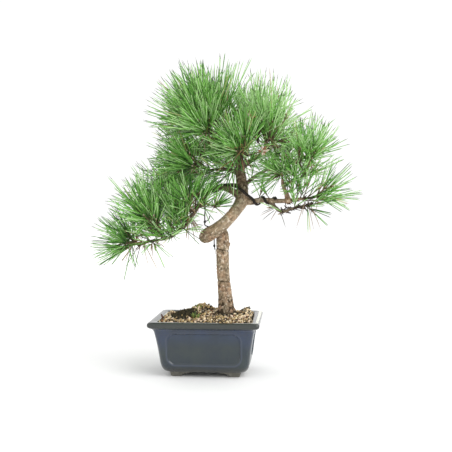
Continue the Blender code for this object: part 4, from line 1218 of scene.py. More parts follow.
@dataclass
class Growth:
    """The shoots of one mass: the source's own by its rule and seed, and finer ones between."""

    mass: Mass
    space: Space
    skeleton: Skeleton
    limits: Limits
    twigs: Swarm
    seed: int
    margin: float = 0.0045
    fine_margin: float = 0.012
    over_plane: float = 0.014
    infill_over: float = 0.06
    hub_radius: float = 0.0036
    core_radii: tuple[float, float] = (0.0019, 0.0012)
    core_gap: float = 0.0004
    hub_reach: float = 0.012
    stem_radius: float = 0.0025
    knuckle_radius: float = 0.0024
    shoot_radius: float = 0.0019
    extra_radius: float = 0.0015
    infill_radius: float = 0.0014
    side_radius: float = 0.0012
    fine_radii: tuple[float, float] = (0.001, 0.001)

    def __post_init__(self) -> None:
        """Grows the source's whorls and shoots, the stem, and every finer shoot."""
        self.rng = random.Random(self.seed)
        self.whorls = self.find_whorls()
        main = self.find_shoots()
        self.rng = random.Random(self.seed + 100)
        self.stem()
        self.sprays = [self.spray(*shoot, self.shoot_radius) for shoot in main]
        self.add_infill()
        self.add_between([(root, direction) for root, direction, _ in main])
        for spray in list(self.sprays):
            if self.mass.extra and spray.along.length > 0.022:
                self.add_side(spray)

    def blended(self, facing: Vector) -> Vector:
        """The way that a whorl's shoots face."""
        return (facing + self.space.facing * 0.6).normalized()

    def find_whorls(self) -> list[tuple[Vector, Vector]]:
        """Finds the whorls that the mass's stem forks into.

        Returns:
            For each whorl its place and the way it faces.
        """
        mass, space = self.mass, self.space
        if mass.forks == 1:
            return [(space.whorl, space.facing)]
        whorls = []
        for direction in dome(space.facing, mass.fork_spread, mass.forks, self.rng):
            end = space.whorl + direction * mass.fork
            touching = self.limits.touches(end, end, (self.hub_radius, self.hub_radius), 0.0012)
            if space.holds(end, self.margin) and not touching:
                whorls.append((end, direction))
        return whorls

    def find_shoots(self) -> list[tuple[Vector, Vector, float]]:
        """Finds the source's shoots of every whorl.

        Returns:
            For each shoot its root, its direction and its length.
        """
        shoots, cores = [], []
        shortest = 0.3 * self.mass.shoot
        for middle, facing in self.whorls:
            for way in dome(self.blended(facing), self.mass.spread, self.mass.shoots, self.rng):
                length = self.mass.shoot * self.rng.uniform(0.85, 1.1)
                while length > shortest and not self.space.holds(middle + way * length, self.margin):
                    length *= 0.85
                clear, end = middle + way * self.hub_radius, middle + way * length
                if length <= shortest or self.limits.touches(clear, end, self.core_radii, self.core_gap):
                    continue
                if all(
                    rods_apart(clear, end, *other, self.core_radii) > self.core_gap
                    or (clear - other[0]).length < self.hub_reach for other in cores
                ):
                    cores.append((clear, end))
                    shoots.append((middle, way, length))
        return shoots

    def stem_root(self) -> tuple[Vector, Vector]:
        """Finds where the mass's stem starts on its limb.

        Returns:
            The place and the way that the stem heads.
        """
        limb = self.skeleton.limbs[self.mass.carrier]
        if self.mass.place is None:
            return limb.points[-1] - limb.tangents[-1] * 0.002, limb.tangents[-1]
        near = limb.nearest(Vector(self.mass.place))
        heading = self.space.whorl - limb.points[near]
        heading -= limb.tangents[near] * heading.dot(limb.tangents[near])
        heading.normalize()
        return limb.points[near] + heading * limb.radii[near] * 0.4, heading

    def stem(self) -> None:
        """Adds the bare wood from the limb to the mass's whorls."""
        whorl, rng = self.space.whorl, self.rng
        base, heading = self.stem_root()
        reach = whorl - base
        bend = (reach - heading * reach.length) * 0.5
        self.twigs.rod(base, reach - bend, self.stem_radius, rng.random(), bend, (0, 0))
        for middle, _ in self.whorls:
            if middle is not whorl:
                start = whorl - (middle - whorl).normalized() * 0.0015
                along = (middle - start) * 1.1
                self.twigs.rod(start, along, self.shoot_radius, rng.random(), None, (0, 1))
        knuckle = UP * (self.hub_radius * 1.5)
        for place in (whorl, *(middle for middle, _ in self.whorls)):
            foot = place - knuckle * 0.5
            self.twigs.rod(foot, knuckle, self.knuckle_radius, rng.random(), None, (0, 0))

    def spray(
        self, root: Vector, direction: Vector, length: float, radius: float, over: float | None = None
    ) -> Spray:
        """Draws one shoot, which bends up a little as it grows.

        Args:
            root: Where it starts.
            direction: The way it starts in.
            length: How long it is.
            radius: How thick its foot is.
            over: How far its needles may pass the mass's planes.

        Returns:
            The shoot.
        """
        rng = self.rng
        bend = Vector((rng.uniform(-1, 1), rng.uniform(-1, 1), rng.uniform(0.2, 1.6))) * length * 0.09
        along = direction * length - bend * 0.8
        # Shoots higher up are given lighter tones: painted light from above.
        height = (root.z + length - 0.25) / 0.30
        tone = 2.1 + self.mass.tint * 1.6 + 0.7 * min(1.0, max(-0.5, height - 0.5)) + rng.gauss(0.0, 0.35)
        vigour = rng.uniform(0.80, 1.08)
        return Spray(root, along, bend, radius, tone, over or self.over_plane, vigour, self.mass.thin)

    def add_infill(self) -> None:
        """Adds the shoots straight off the limbs."""
        for row in self.mass.infill:
            root = Vector([value / 10000.0 for value in row[:3]])
            way = Vector([value / 100.0 for value in row[3:6]]).normalized()
            length = row[6] / 1000.0
            spray = self.spray(root, way, length, self.infill_radius, self.infill_over)
            spray.vigour *= 0.74 if length < 0.04 else 1.05
            spray.thin = self.mass.infill_thin
            self.sprays.append(spray)

    def add_between(self, taken: list[tuple[Vector, Vector]]) -> None:
        """Adds shoots where a whorl has room between its own.

        Args:
            taken: The root and direction of each shoot that stands there.
        """
        mass = self.mass
        for middle, facing in self.whorls:
            for way in dome(self.blended(facing), mass.spread * 1.25, mass.extra * 2, self.rng):
                near = [other for root, other in taken if (root - middle).length < 0.004]
                if any(way.angle(other) < math.radians(13.0) for other in near):
                    continue
                length = mass.shoot * self.rng.uniform(0.45, 0.8)
                if self.fits(middle, way, length):
                    self.sprays.append(self.spray(middle, way, length, self.extra_radius))
                    taken.append((middle, way))

    def add_side(self, spray: Spray) -> None:
        """Adds a side shoot where it fits.

        Args:
            spray: The shoot that bears it.
        """
        rng = self.rng
        share = rng.uniform(0.30, 0.72)
        side = spray.along.orthogonal().normalized()
        out = swing(side, spray.along.normalized().cross(side), rng.uniform(0.0, FULL_TURN))
        way = swing(spray.heading(share), out, math.radians(rng.uniform(32.0, 50.0)))
        length = spray.along.length * rng.uniform(0.40, 0.62)
        if self.fits(spray.at(share), way, length):
            self.sprays.append(self.spray(spray.at(share), way, length, self.side_radius))

    def fits(self, root: Vector, way: Vector, length: float) -> bool:
        """Tries a finer shoot.

        Args:
            root: Where it starts.
            way: Its direction.
            length: Its length.

        Returns:
            Whether it stays in its mass and clear of the limbs.
        """
        end = root + way * length
        clear = root + way * min(0.006, length * 0.4)
        inside = self.space.holds(end, self.fine_margin, self.over_plane + self.fine_margin)
        return inside and not self.limits.touches(clear, end, self.fine_radii, self.core_gap)


@dataclass
class Foliage:
    """Twigs, needles, their sheaths and the buds of all masses."""

    needle_margin: float = 0.001
    box_margin: float = 0.0015
    pair_pitch: float = 0.0024
    needle_width: float = 0.00080
    root_angle: float = 48.0
    tip_angle: float = 11.0
    rise: float = 0.16
    bare_foot: float = 0.12
    dead_twigs: int = 80
    dead_reach: tuple[float, float] = (0.130, 0.192)
    sheath_length: float = 0.0080
    sheath_width: float = 0.00080
    bud_radius: float = 0.0016
    # Withered bunches: a place, the way they point, how many needles, their length, their tones
    bunches: tuple[tuple[Triple, Triple, int, float, tuple[int, ...]], ...] = (
        ((0.0751, -0.0780, 0.4175), (-0.4, -0.7, -0.1), 18, 0.013, (2, 0, 0)),
        ((0.0700, -0.0600, 0.3990), (0.0, -0.1, -1.0), 2, 0.034, (0, 2)),
        ((0.0060, -0.0600, 0.4350), (0.3, -0.6, -0.2), 16, 0.014, (2, 3, 1)),
        ((-0.1150, -0.0420, 0.2500), (-0.2, -0.8, 0.2), 34, 0.020, (0, 0, 1)),
        ((-0.0950, -0.0410, 0.2480), (0.3, -0.6, -0.5), 20, 0.020, (0, 1, 2)),
        ((-0.0270, -0.0350, 0.2900), (0.1, -0.5, -1.0), 20, 0.032, (0, 1, 1)),
        ((-0.1160, -0.0400, 0.2440), (0.1, -0.1, -1.0), 5, 0.046, (3, 3, 0)),
        ((0.1880, -0.0270, 0.3220), (0.1, -0.5, -0.9), 7, 0.046, (0, 3, 1)),
        ((0.1300, -0.0200, 0.3080), (-0.8, -0.5, -0.5), 7, 0.030, (3, 3, 1)),
    )
    # Bud clusters on twigs: where the twig starts, where it ends, how many buds and their length
    clusters: tuple[tuple[Triple, Triple, int, float], ...] = (
        ((0.0820, -0.0390, 0.4240), (0.0892, -0.0750, 0.4704), 6, 0.013),
        ((0.0800, -0.0390, 0.4070), (0.1098, -0.0850, 0.4104), 12, 0.011),
        ((-0.0279, -0.0300, 0.2912), (-0.0285, -0.0400, 0.2915), 6, 0.009),
        ((0.1440, -0.0220, 0.3640), (0.1435, -0.0290, 0.3710), 5, 0.010),
        ((0.0290, -0.0160, 0.4400), (0.0040, -0.0600, 0.4390), 7, 0.010),
    )
    tones: tuple[PlainTone, ...] = (
        PlainTone("needle_deep", (0.038, 0.104, 0.024), 0.52),
        PlainTone("needle_shade", (0.086, 0.246, 0.042), 0.48),
        PlainTone("needle_mid", (0.168, 0.436, 0.070), 0.50),
        PlainTone("needle_fresh", (0.290, 0.615, 0.141), 0.46),
        # The palest needles, which also stand in for painted highlights on glossy needles.
        PlainTone("needle_light_and_highlight", (0.515, 0.782, 0.345), 0.42),
        PlainTone("needle_yellowed", (0.580, 0.600, 0.260), 0.50),
        PlainTone("needle_straw", (0.560, 0.400, 0.220), 0.60),
        PlainTone("needle_tip", (0.075, 0.118, 0.040), 0.60),
    )
    twig_tones: tuple[PlainTone, ...] = (
        PlainTone("twig_brown", (0.105, 0.078, 0.050), 0.85, 0.2),
        PlainTone("twig_tan", (0.24, 0.18, 0.11), 0.8, 0.2),
        PlainTone("twig_dead", (0.060, 0.042, 0.030), 0.9, 0.2),
    )
    sheath_tones: tuple[PlainTone, ...] = (
        PlainTone("sheath_brown", (0.165, 0.130, 0.065), 0.7),
        PlainTone("sheath_grey", (0.26, 0.19, 0.12), 0.75),
    )
    bud_tones: tuple[PlainTone, ...] = (
        PlainTone("bud_brown", (0.22, 0.11, 0.05), 0.6),
        PlainTone("bud_white", (0.55, 0.47, 0.36), 0.65),
    )
    old_tones: tuple[PlainTone, ...] = (
        PlainTone("needle_old_straw", (0.46, 0.33, 0.18), 0.7),
        PlainTone("needle_old_pink", (0.38, 0.27, 0.20), 0.7),
        PlainTone("needle_old_rust", (0.34, 0.19, 0.08), 0.7),
        PlainTone("needle_old_dark", (0.080, 0.075, 0.055), 0.7),
    )

    def build(self, bench: Bench, skeleton: Skeleton) -> None:
        """Grows every mass and adds its pieces.

        Args:
            bench: Where pieces are put.
            skeleton: The limbs that carry the masses.
        """
        low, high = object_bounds()
        self.low, self.high = low - bench.home, high - bench.home
        twig_outline = [(k / 7.0, lerp(1.0, 0.55, k / 7.0)) for k in range(7)]
        self.twigs = Swarm(Template.spire(6, twig_outline, (0.5,)))
        self.sheaths = Swarm(Template.spire(3, ((0.0, 0.8), (0.55, 1.0))))
        self.buds = Swarm(Template.spire(5, ((0.0, 0.62), (0.28, 1.0), (0.62, 0.72)), (0.45,)))
        self.old_needles = Swarm(Template.spire(3, ((0.0, 0.7), (0.35, 0.95), (0.75, 0.7))))
        self.grow(bench, skeleton)
        self.rng = random.Random(77)
        self.wither()
        self.set_clusters()
        self.tangle([skeleton.limbs[name] for name in ("bough_right_low", "bough_right_low", "bough_right")])
        for name, swarm, tones, slot in (
            ("twigs", self.twigs, self.twig_tones, Slot.BOUGH),
            ("sheaths", self.sheaths, self.sheath_tones, Slot.BOUGH),
            ("buds", self.buds, self.bud_tones, Slot.BOUGH),
            ("old_needles", self.old_needles, self.old_tones, Slot.NEEDLE),
        ):
            bench.piece("foliage_" + name, swarm.mesh(), mixed(tones))

    def grow(self, bench: Bench, skeleton: Skeleton) -> None:
        """Grows the masses one by one, each as a piece.

        Args:
            bench: Where pieces are put.
            skeleton: The limbs that carry the masses.
        """
        self.limits = Limits(skeleton.routes())
        needle = Template.spire(3, ((0.0, 0.7), (0.30, 1.0), (0.88, 0.85)), (0.30, 0.74))
        tones = mixed(self.tones)
        spaces = {name: Space(mass) for name, mass in MASSES.items()}
        for one in spaces.values():
            for other in spaces.values():
                if one is not other:
                    one.part_from(other)
        for seed, (name, mass) in enumerate(MASSES.items(), start=11):
            growth = Growth(mass, spaces[name], skeleton, self.limits, self.twigs, seed)
            swarm = Swarm(needle)
            self.rng = random.Random(seed + 500)
            for spray in growth.sprays:
                self.dress(spray, growth, swarm)
            LOG.info("%s: %d sprays, %d needles", name, len(growth.sprays), len(swarm.frames))
            bench.piece("foliage_" + name, swarm.mesh(), tones, ["needles_" + name])

    def wither(self) -> None:
        """Adds the withered bunches."""
        rng = self.rng
        for place, heading, count, length, tones in self.bunches:
            for _ in range(count):
                spread = Vector((rng.gauss(0.0, 0.55), rng.gauss(0.0, 0.35), rng.gauss(0.0, 0.45)))
                way = (Vector(heading) + spread).normalized()
                size = length * rng.uniform(0.6, 1.25)
                bend = -UP * size * rng.uniform(0.0, 0.25)
                foot = Vector(place) + spread * 0.008
                self.place(self.old_needles, foot, way * size, bend, (rng.choice(tones),) * 2)

    def set_clusters(self) -> None:
        """Adds the bud clusters."""
        rng = self.rng
        for base, place, count, length in self.clusters:
            self.twigs.rod(Vector(base), Vector(place) - Vector(base), 0.0016, 0.0, None, (0, 1))
            for _ in range(count):
                way = (rng.gauss(0.0, 0.8), rng.uniform(-1.0, -0.2), rng.gauss(0.4, 0.7))
                way = Vector(way).normalized()
                along = way * length * rng.uniform(0.6, 1.1)
                self.buds.rod(Vector(place) + way * 0.002, along, 0.0021, rng.random(), None,
                              (1 if rng.random() < 0.45 else 0,) * 2)

    def tangle(self, limbs: Sequence[Limb]) -> None:
        """Tangles dead twigs along limbs.

        Args:
            limbs: The limbs, one of which is drawn for each twig.
        """
        rng = self.rng
        low, high = self.dead_reach
        for _ in range(self.dead_twigs):
            limb = rng.choice(limbs)
            i = rng.choice([i for i, point in enumerate(limb.points) if low < point.x < high])
            point = limb.points[i].lerp(limb.points[min(i + 1, len(limb.points) - 1)], rng.random())
            off = Vector((rng.gauss(0.0, 0.5), rng.gauss(0.0, 0.6), rng.gauss(0.0, 0.45)))
            way = (limb.tangents[i] * rng.choice((1.0, 1.0, -1.0)) + off).normalized()
            size = rng.uniform(0.006, 0.017)
            bend = way.orthogonal().normalized() * size * rng.uniform(-0.4, 0.4)
            self.twigs.rod(point, way * size, rng.uniform(0.0009, 0.0020), rng.random(), bend, (2, 2))

    def dress(self, spray: Spray, growth: Growth, swarm: Swarm) -> None:
        """Puts the twig, needles, sheaths, bud and old needles of one shoot.

        Args:
            spray: The shoot.
            growth: The mass that it belongs to.
            swarm: The mass's needles.
        """
        rng, mass = self.rng, growth.mass
        self.twigs.rod(spray.root, spray.along, spray.radius * 0.78, rng.random(), spray.bend, (0, 1))
        bud = spray.heading(1.0) * rng.uniform(0.006, 0.011)
        width = self.bud_radius * rng.uniform(0.8, 1.1)
        self.buds.rod(spray.at(0.97), bud, width, rng.random(), None, (0, 1))
        leafy = 1.0 - self.bare_foot
        pairs = max(5, round(spray.along.length * leafy / self.pair_pitch * spray.thin))
        start = rng.uniform(0.0, FULL_TURN)
        for k in range(pairs):
            share = lerp(self.bare_foot, 1.0, (k + 0.5) / pairs)
            heading = spray.heading(share)
            side = heading.orthogonal().normalized()
            out = swing(side, heading.cross(side), start + k * GOLDEN_ANGLE + rng.uniform(-0.2, 0.2))
            climb = ((share - self.bare_foot) / leafy) ** 0.85
            lean = math.radians(lerp(self.root_angle, self.tip_angle, climb) + rng.gauss(0.0, 10.0))
            way = (swing(heading, out, lean) + UP * self.rise).normalized()
            foot = spray.at(share) + out * spray.radius * 0.5
            wanted = mass.needle * spray.vigour * rng.choice((rng.uniform(0.62, 1.0), rng.uniform(0.8, 1.1)))
            reach = self.trim(foot, way, wanted, growth.space, spray.over)
            if self.keeps(foot, way, reach, wanted, mass):
                # Pairs low on the shoot get deeper tones and those near its tip lighter ones: painted shade
                # inside the tuft and painted light at its tips.
                self.pair(spray.tone + 0.25 + 0.5 * (climb - 0.5), swarm, foot, way, out, reach)
        for _ in range(rng.choice((0, 0, 0, 1, 2)) if spray.radius > growth.infill_radius else 0):
            self.hang_old_needle(spray, mass.needle)

    def trim(self, foot: Vector, way: Vector, reach: float, space: Space, over: float) -> float:
        """Shortens a needle until its mass's space and the frame's box hold it.

        Args:
            foot: Where it starts.
            way: Its direction.
            reach: The length that is wanted.
            space: The mass's space.
            over: How far it may pass the space's planes.

        Returns:
            Its length.
        """
        least = reach * 0.45
        while reach > least:
            tip = foot + way * reach
            if self.boxed(tip, 0.001) and space.holds(tip, self.needle_margin, over):
                break
            reach *= 0.92
        return reach

    def boxed(self, tip: Vector, margin: float) -> bool:
        """Whether the frame's box holds a point with a margin."""
        return all(self.low[a] + margin < tip[a] < self.high[a] - margin for a in range(3))

    def keeps(self, foot: Vector, way: Vector, reach: float, wanted: float, mass: Mass) -> bool:
        """Draws whether a pair stays, as most that are cut short or reach a bald place don't.

        Args:
            foot: Where it starts.
            way: Its direction.
            reach: Its length.
            wanted: The length that it was to have.
            mass: Its mass.

        Returns:
            Whether it stays.
        """
        rng = self.rng
        tip = foot + way * reach
        beyond = mass.bald and (tip - Vector(mass.bald[0])).dot(Vector(mass.bald[1])) > 0.0
        if reach < 0.9 * wanted and rng.random() < 0.70 or beyond and rng.random() < 0.88:
            return False
        if reach <= 0.45 * mass.needle:
            return False
        return not self.limits.touches(foot + way * 0.006, tip, (0.001, 0.0004), 0.0003, 0.008)

    def pair(
        self, tone: float, swarm: Swarm, foot: Vector, way: Vector, out: Vector, reach: float
    ) -> None:
        """Adds a sheath with its two needles.

        Args:
            tone: How light they are, in steps of the tones.
            swarm: The mass's needles.
            foot: Where they start.
            way: Their direction.
            out: The way off the shoot.
            reach: Their length.
        """
        rng = self.rng
        self.sheaths.rod(foot, way * self.sheath_length * rng.uniform(0.8, 1.1), self.sheath_width,
                         rng.random(), None, (0 if rng.random() < 0.7 else 1,))
        across = way.orthogonal().normalized()
        across = swing(across, way.cross(across), rng.uniform(0.0, math.pi))
        gap = math.radians(rng.uniform(2.0, 11.0))
        for sign in (-1.0, 1.0):
            single = (way + across * sign * math.tan(gap / 2.0)).normalized()
            size = reach * rng.uniform(0.95, 1.0)
            droop = UP * -0.5 + out * rng.uniform(-0.5, 1.2) + across * rng.uniform(-0.8, 0.8)
            bend = (droop - single * droop.dot(single)) * size * 0.08
            self.place(swarm, foot, single * size - bend, bend, self.zones(tone))

    def zones(self, tone: float) -> tuple[int, int, int]:
        """Draws the tones of a needle's foot, blade and tip.

        Args:
            tone: How light it is to be, in steps of the tones.

        Returns:
            Their indices.
        """
        step = min(4, max(0, round(tone + self.rng.gauss(0.0, 1.4))))
        odd = self.rng.random()
        deeper = max(0, step - 1)
        if odd < 0.025:
            return (5, 6, 6) if odd < 0.004 else (6, 6, 6) if odd < 0.007 else (step, 5, 5)
        # The foot of each needle is a step deeper than its blade: painted shade inside the tuft.
        return deeper, step, 7 if odd < 0.50 else deeper if odd < 0.80 else step

    def hang_old_needle(self, spray: Spray, needle: float) -> None:
        """Adds a withered needle that hangs from a shoot's lower part.

        Args:
            spray: The shoot.
            needle: How long the mass's needles are.
        """
        rng = self.rng
        way = Vector((rng.gauss(0, 1), rng.gauss(0, 1), rng.uniform(-1.2, -0.1))).normalized()
        foot = spray.at(rng.uniform(0.02, 0.4))
        size = needle * rng.uniform(0.25, 0.55)
        bend = -UP * size * rng.uniform(0.1, 0.35)
        self.place(self.old_needles, foot, way * size, bend, (rng.choice((0, 0, 1, 2)),) * 2)

    def place(
        self, swarm: Swarm, foot: Vector, along: Vector, bend: Vector, zones: tuple[int, ...]
    ) -> None:
        """Places one needle, kept inside the frame's box.

        Args:
            swarm: What it joins.
            foot: Where it starts.
            along: Its length and direction.
            bend: How far its tip is carried off the straight.
            zones: The index of each of its tones.
        """
        for axis in range(3):
            tip = (foot + along + bend)[axis]
            if not self.low[axis] + self.box_margin <= tip <= self.high[axis] - self.box_margin:
                along, bend = along * 0.93, bend * 0.93
        if self.boxed(foot + along + bend, self.box_margin):
            width = self.needle_width * self.rng.uniform(0.9, 1.1)
            swarm.rod(foot, along, width, self.rng.random() * 6.28, bend, zones)


@dataclass
class BarkedLimbs:
    """Trunk and boughs as one skin of flaky bark."""

    step: float = 0.003
    trunk_sides: int = 32
    bough_sides: int = 16
    voxel: float = 0.0009
    smoothings: int = 2
    plate_size: float = 0.0034
    plate_stretch: float = 0.50
    # Without a seed of its own the noise that bends the plates follows the clock
    plate_seed: int = 3
    old_depth: float = 0.0011
    young_depth: float = 0.0004
    crease_depth: float = 0.0012
    crease_reach: float = 0.018
    collar: float = 0.28
    collar_reach: float = 0.012
    flare_height: float = 0.013
    flare_reach: float = 0.09
    flare_drop: float = 0.006
    # Boughs whose bark is older than their thickness tells
    old_boughs: tuple[tuple[str, float], ...] = (("bough_right_rise", 0.95), ("bough_right", 0.55))
    # Knobs of old cuts and bud scars: the place on the surface, and the radius
    knobs: Route = (
        (0.0395, -0.0040, 0.2425, 0.0050),
        (0.0210, -0.0040, 0.2300, 0.0042),
        (-0.0035, -0.0070, 0.2560, 0.0108),
        (0.1540, -0.0230, 0.3240, 0.0068),
        (0.0350, -0.0260, 0.2860, 0.0036),
    )
    # Rings of creased bark round the trunk: a place on its axis, and how wide they are
    creases: Route = (
        (0.0294, 0.000, 0.2321, 0.0011),
        (0.0312, 0.000, 0.1726, 0.0013),
    )
    # Moss on the bark: a place and how far it reaches
    mossy: Route = (
        (0.0525, -0.022, 0.3240, 0.010),
        (0.0547, -0.016, 0.3334, 0.008),
        (0.0306, -0.019, 0.3500, 0.009),
        (0.0143, -0.024, 0.3480, 0.008),
    )

    def build(self, bench: Bench) -> None:
        """Skins every limb, joins them and works the bark's relief.

        Args:
            bench: Where the piece is put.
        """
        self.limbs = [Limb("trunk", TRUNK_ROUTE, self.step)]
        self.limbs += [Limb(name, route, self.step) for name, route in BOUGH_ROUTES.items()]
        shape = bmesh.new()
        for limb in self.limbs:
            sides = self.trunk_sides if limb.name == "trunk" else self.bough_sides
            rings = [limb.ring(i, sides, self.growth(limb, i)) for i in range(len(limb.points))]
            loft(shape, self.flared(limb, rings) if limb.name == "trunk" else rings)
        for *place, radius in self.knobs:
            bmesh.ops.create_icosphere(
                shape, subdivisions=3, radius=radius, matrix=Matrix.Translation(place)
            )
        mesh = self.remeshed(mesh_of(shape))
        noise.seed_set(self.plate_seed)
        self.relief(mesh)
        bench.piece("bark_skin", mesh, [BarkFinish().material()], ["trunk", *BOUGH_ROUTES])

    def growth(self, limb: Limb, i: int) -> float:
        """Works out how much a limb is swollen at a point.

        Args:
            limb: The limb.
            i: The point's index.

        Returns:
            The factor, from its collar and its own unevenness.
        """
        along = i * self.step
        wave = noise.noise(Vector((along * 55.0, len(limb.name) * 3.1, limb.radii[0] * 900.0)))
        swell = 1.0 + 0.05 * wave
        if limb.name not in ("trunk", "bough_left_end"):
            swell += self.collar * math.exp(-((along / self.collar_reach) ** 2))
        return swell

    def flared(self, limb: Limb, rings: list[list[Vector]]) -> list[list[Vector]]:
        """Draws the root flare out at the trunk's foot.

        Args:
            limb: The trunk.
            rings: Its rings.

        Returns:
            The rings with the flare, the first of them under the soil.
        """
        for i in range(int(self.flare_reach / self.step) + 1):
            middle = limb.points[i]
            fade = math.exp(-max(0.0, middle.z - TRUNK_SEAT_Z) / self.flare_height)
            for k, point in enumerate(rings[i]):
                turn = FULL_TURN * k / len(rings[i])
                lobe = 0.28 * (math.cos(5.0 * turn + 0.6) - 1.0)
                swell = 0.16 + 0.10 * lobe + 0.30 * max(0.0, math.cos(turn)) ** 4
                rings[i][k] = middle + (point - middle) * (1.0 + swell * fade)
        for point in rings[0]:
            point.z = TRUNK_SEAT_Z - self.flare_drop
        return rings

    def remeshed(self, mesh: bpy.types.Mesh) -> bpy.types.Mesh:
        """Fuses the limbs into one even skin.

        Args:
            mesh: The limbs, which it takes away.

        Returns:
            The skin.
        """
        item = stand("limbs", mesh)
        skin = item.modifiers.new("Skin", "REMESH")
        skin.mode = "VOXEL"
        skin.voxel_size = self.voxel
        bpy.context.view_layer.update()
        graph = bpy.context.evaluated_depsgraph_get()
        made = bpy.data.meshes.new_from_object(item.evaluated_get(graph))
        bpy.data.objects.remove(item)
        bpy.data.meshes.remove(mesh)
        shape = bmesh.new()
        shape.from_mesh(made)
        for _ in range(self.smoothings):
            bmesh.ops.smooth_vert(
                shape, verts=shape.verts[:], factor=0.5, use_axis_x=True, use_axis_y=True, use_axis_z=True
            )
        shape.to_mesh(made)
        shape.free()
        return made

    def relief(self, mesh: bpy.types.Mesh) -> None:
        """Raises plates and sinks fissures over the skin, and keeps the masks for the finish.

        Args:
            mesh: The skin.
        """
        axes = [(limb, i) for limb in self.limbs for i in range(len(limb.points))]
        tree = KDTree(len(axes))
        for number, (limb, i) in enumerate(axes):
            tree.insert(limb.points[i], number)
        tree.balance()
        masks: dict[str, list[float]] = {"fissure": [], "age": [], "flake": [], "moss": []}
        moves = []
        for vert in mesh.vertices:
            found = tree.find_n(vert.co, 10)
            number = min(found, key=lambda f: f[2] - axes[f[1]][0].radii[axes[f[1]][1]])[1]
            limb, i = axes[number]
            tangent, radius = limb.tangents[i], limb.radii[i]
            reach = vert.co - limb.points[i]
            flat = reach - tangent * reach.dot(tangent)
            crack, flake = self.plates(limb, i, reach, flat)
            ridge = self.ridge(vert.co, tangent)
            rough = noise.fractal(vert.co * 420.0, 1.0, 2.0, 3)
            depth = lerp(self.young_depth, self.old_depth, smooth_share(0.003, 0.011, radius))
            lift = depth * (0.45 * flake - 1.0 * crack + 0.45 * rough) - ridge * self.crease_depth
            moves.append(vert.co + flat.normalized() * lift)
            calm = smooth_share(0.262, 0.278, vert.co.z) * (1.0 - smooth_share(0.305, 0.325, vert.co.z))
            masks["fissure"].append(self.darkness(vert.co, radius, crack, ridge, calm))
            masks["age"].append(self.age(limb, radius, vert.co.z))
            masks["flake"].append(lerp(flake, 1.0, 0.35 * calm))
            patches = (math.exp(-((vert.co - Vector(place)).length / wide) ** 2)
                       for *place, wide in self.mossy)
            masks["moss"].append(min(1.0, max(patches) * 1.5))
        mesh.vertices.foreach_set("co", np.array(moves, np.float32).ravel())
        keep_masks(mesh, masks)
        mesh.update()

    def plates(self, limb: Limb, i: int, reach: Vector, flat: Vector) -> tuple[float, float]:
        """Finds the plate of bark at a point of the skin.

        Args:
            limb: The limb that the point lies on.
            i: The index of the limb's nearest point.
            reach: The way from there to the point of the skin.
            flat: The part of it that lies across the limb.

        Returns:
            How deep in a crack the point lies, and the plate's own height, both from 0 to 1.
        """
        tangent, side = limb.tangents[i], limb.sides[i]
        along = i * self.step + reach.dot(tangent)
        turn = math.atan2(flat.dot(tangent.cross(side)), flat.dot(side))
        girth = max(0.004, limb.radii[i]) * 1.1
        offset = 0.37 * self.limbs.index(limb)
        spot = Vector((math.cos(turn) * girth, math.sin(turn) * girth,
                       along * self.plate_stretch + offset)) / self.plate_size
        spot += noise.noise_vector(spot * 0.9) * 0.35
        near, points = noise.voronoi(spot, distance_metric="DISTANCE", exponent=2.5)
        broken = smooth_share(-0.25, 0.35, noise.noise(spot * 1.3 + Vector((7.0, 3.0, 1.0))))
        crack = (1.0 - smooth_share(0.02, 0.20, near[1] - near[0])) * lerp(0.15, 1.0, broken)
        flake = (math.sin(points[0].dot(Vector((12.9, 78.2, 37.7)))) * 43758.5) % 1.0
        return crack, flake

    def ridge(self, place: Vector, tangent: Vector) -> float:
        """Works out how much of a crease there is at a place.

        Args:
            place: The place on the skin.
            tangent: The way that the limb runs there.

        Returns:
            The share, from 0 to 1.
        """
        ridge = 0.0
        for *middle, wide in self.creases:
            away = place - Vector(middle)
            if away.length < self.crease_reach:
                ridge = max(ridge, math.exp(-((away.dot(tangent) + 0.22 * away.x) / wide) ** 2))
        return ridge

    def darkness(self, place: Vector, radius: float, crack: float, ridge: float, calm: float) -> float:
        """Works out how dark the bark is: in cracks, in spots, near the soil and high up.

        Args:
            place: The place on the skin.
            radius: The limb's radius there.
            crack: How deep in a crack it lies.
            ridge: How much of a crease there is.
            calm: How smooth and pale the bark is.

        Returns:
            The darkness, from 0 to 1.
        """
        height = place.z
        spots = smooth_share(0.05, 0.45, noise.fractal(place * 150.0, 1.0, 2.0, 4))
        soiled = 1.0 - smooth_share(0.108, 0.122 + 0.012 * noise.noise(place * 130.0), height)
        splash = 0.8 * spots * (1.0 - smooth_share(0.117, 0.160, height))
        upper = 0.38 * smooth_share(0.325, 0.345, height) * smooth_share(0.003, 0.006, radius)
        foot = 0.24 * (1.0 - smooth_share(0.120, 0.168, height))
        dark = 0.55 * crack + 0.75 * ridge + 0.40 * spots
        return min(1.0, dark * (1.0 - 0.5 * calm) + 0.85 * soiled + splash + upper + foot)

    def age(self, limb: Limb, radius: float, height: float) -> float:
        """How old the bark is, from 0 to 1: more on thick wood, less high up."""
        age = smooth_share(0.0030, 0.0098, radius) * (1.0 - 0.65 * smooth_share(0.33, 0.40, height))
        return max(age, dict(self.old_boughs).get(limb.name, 0.0))


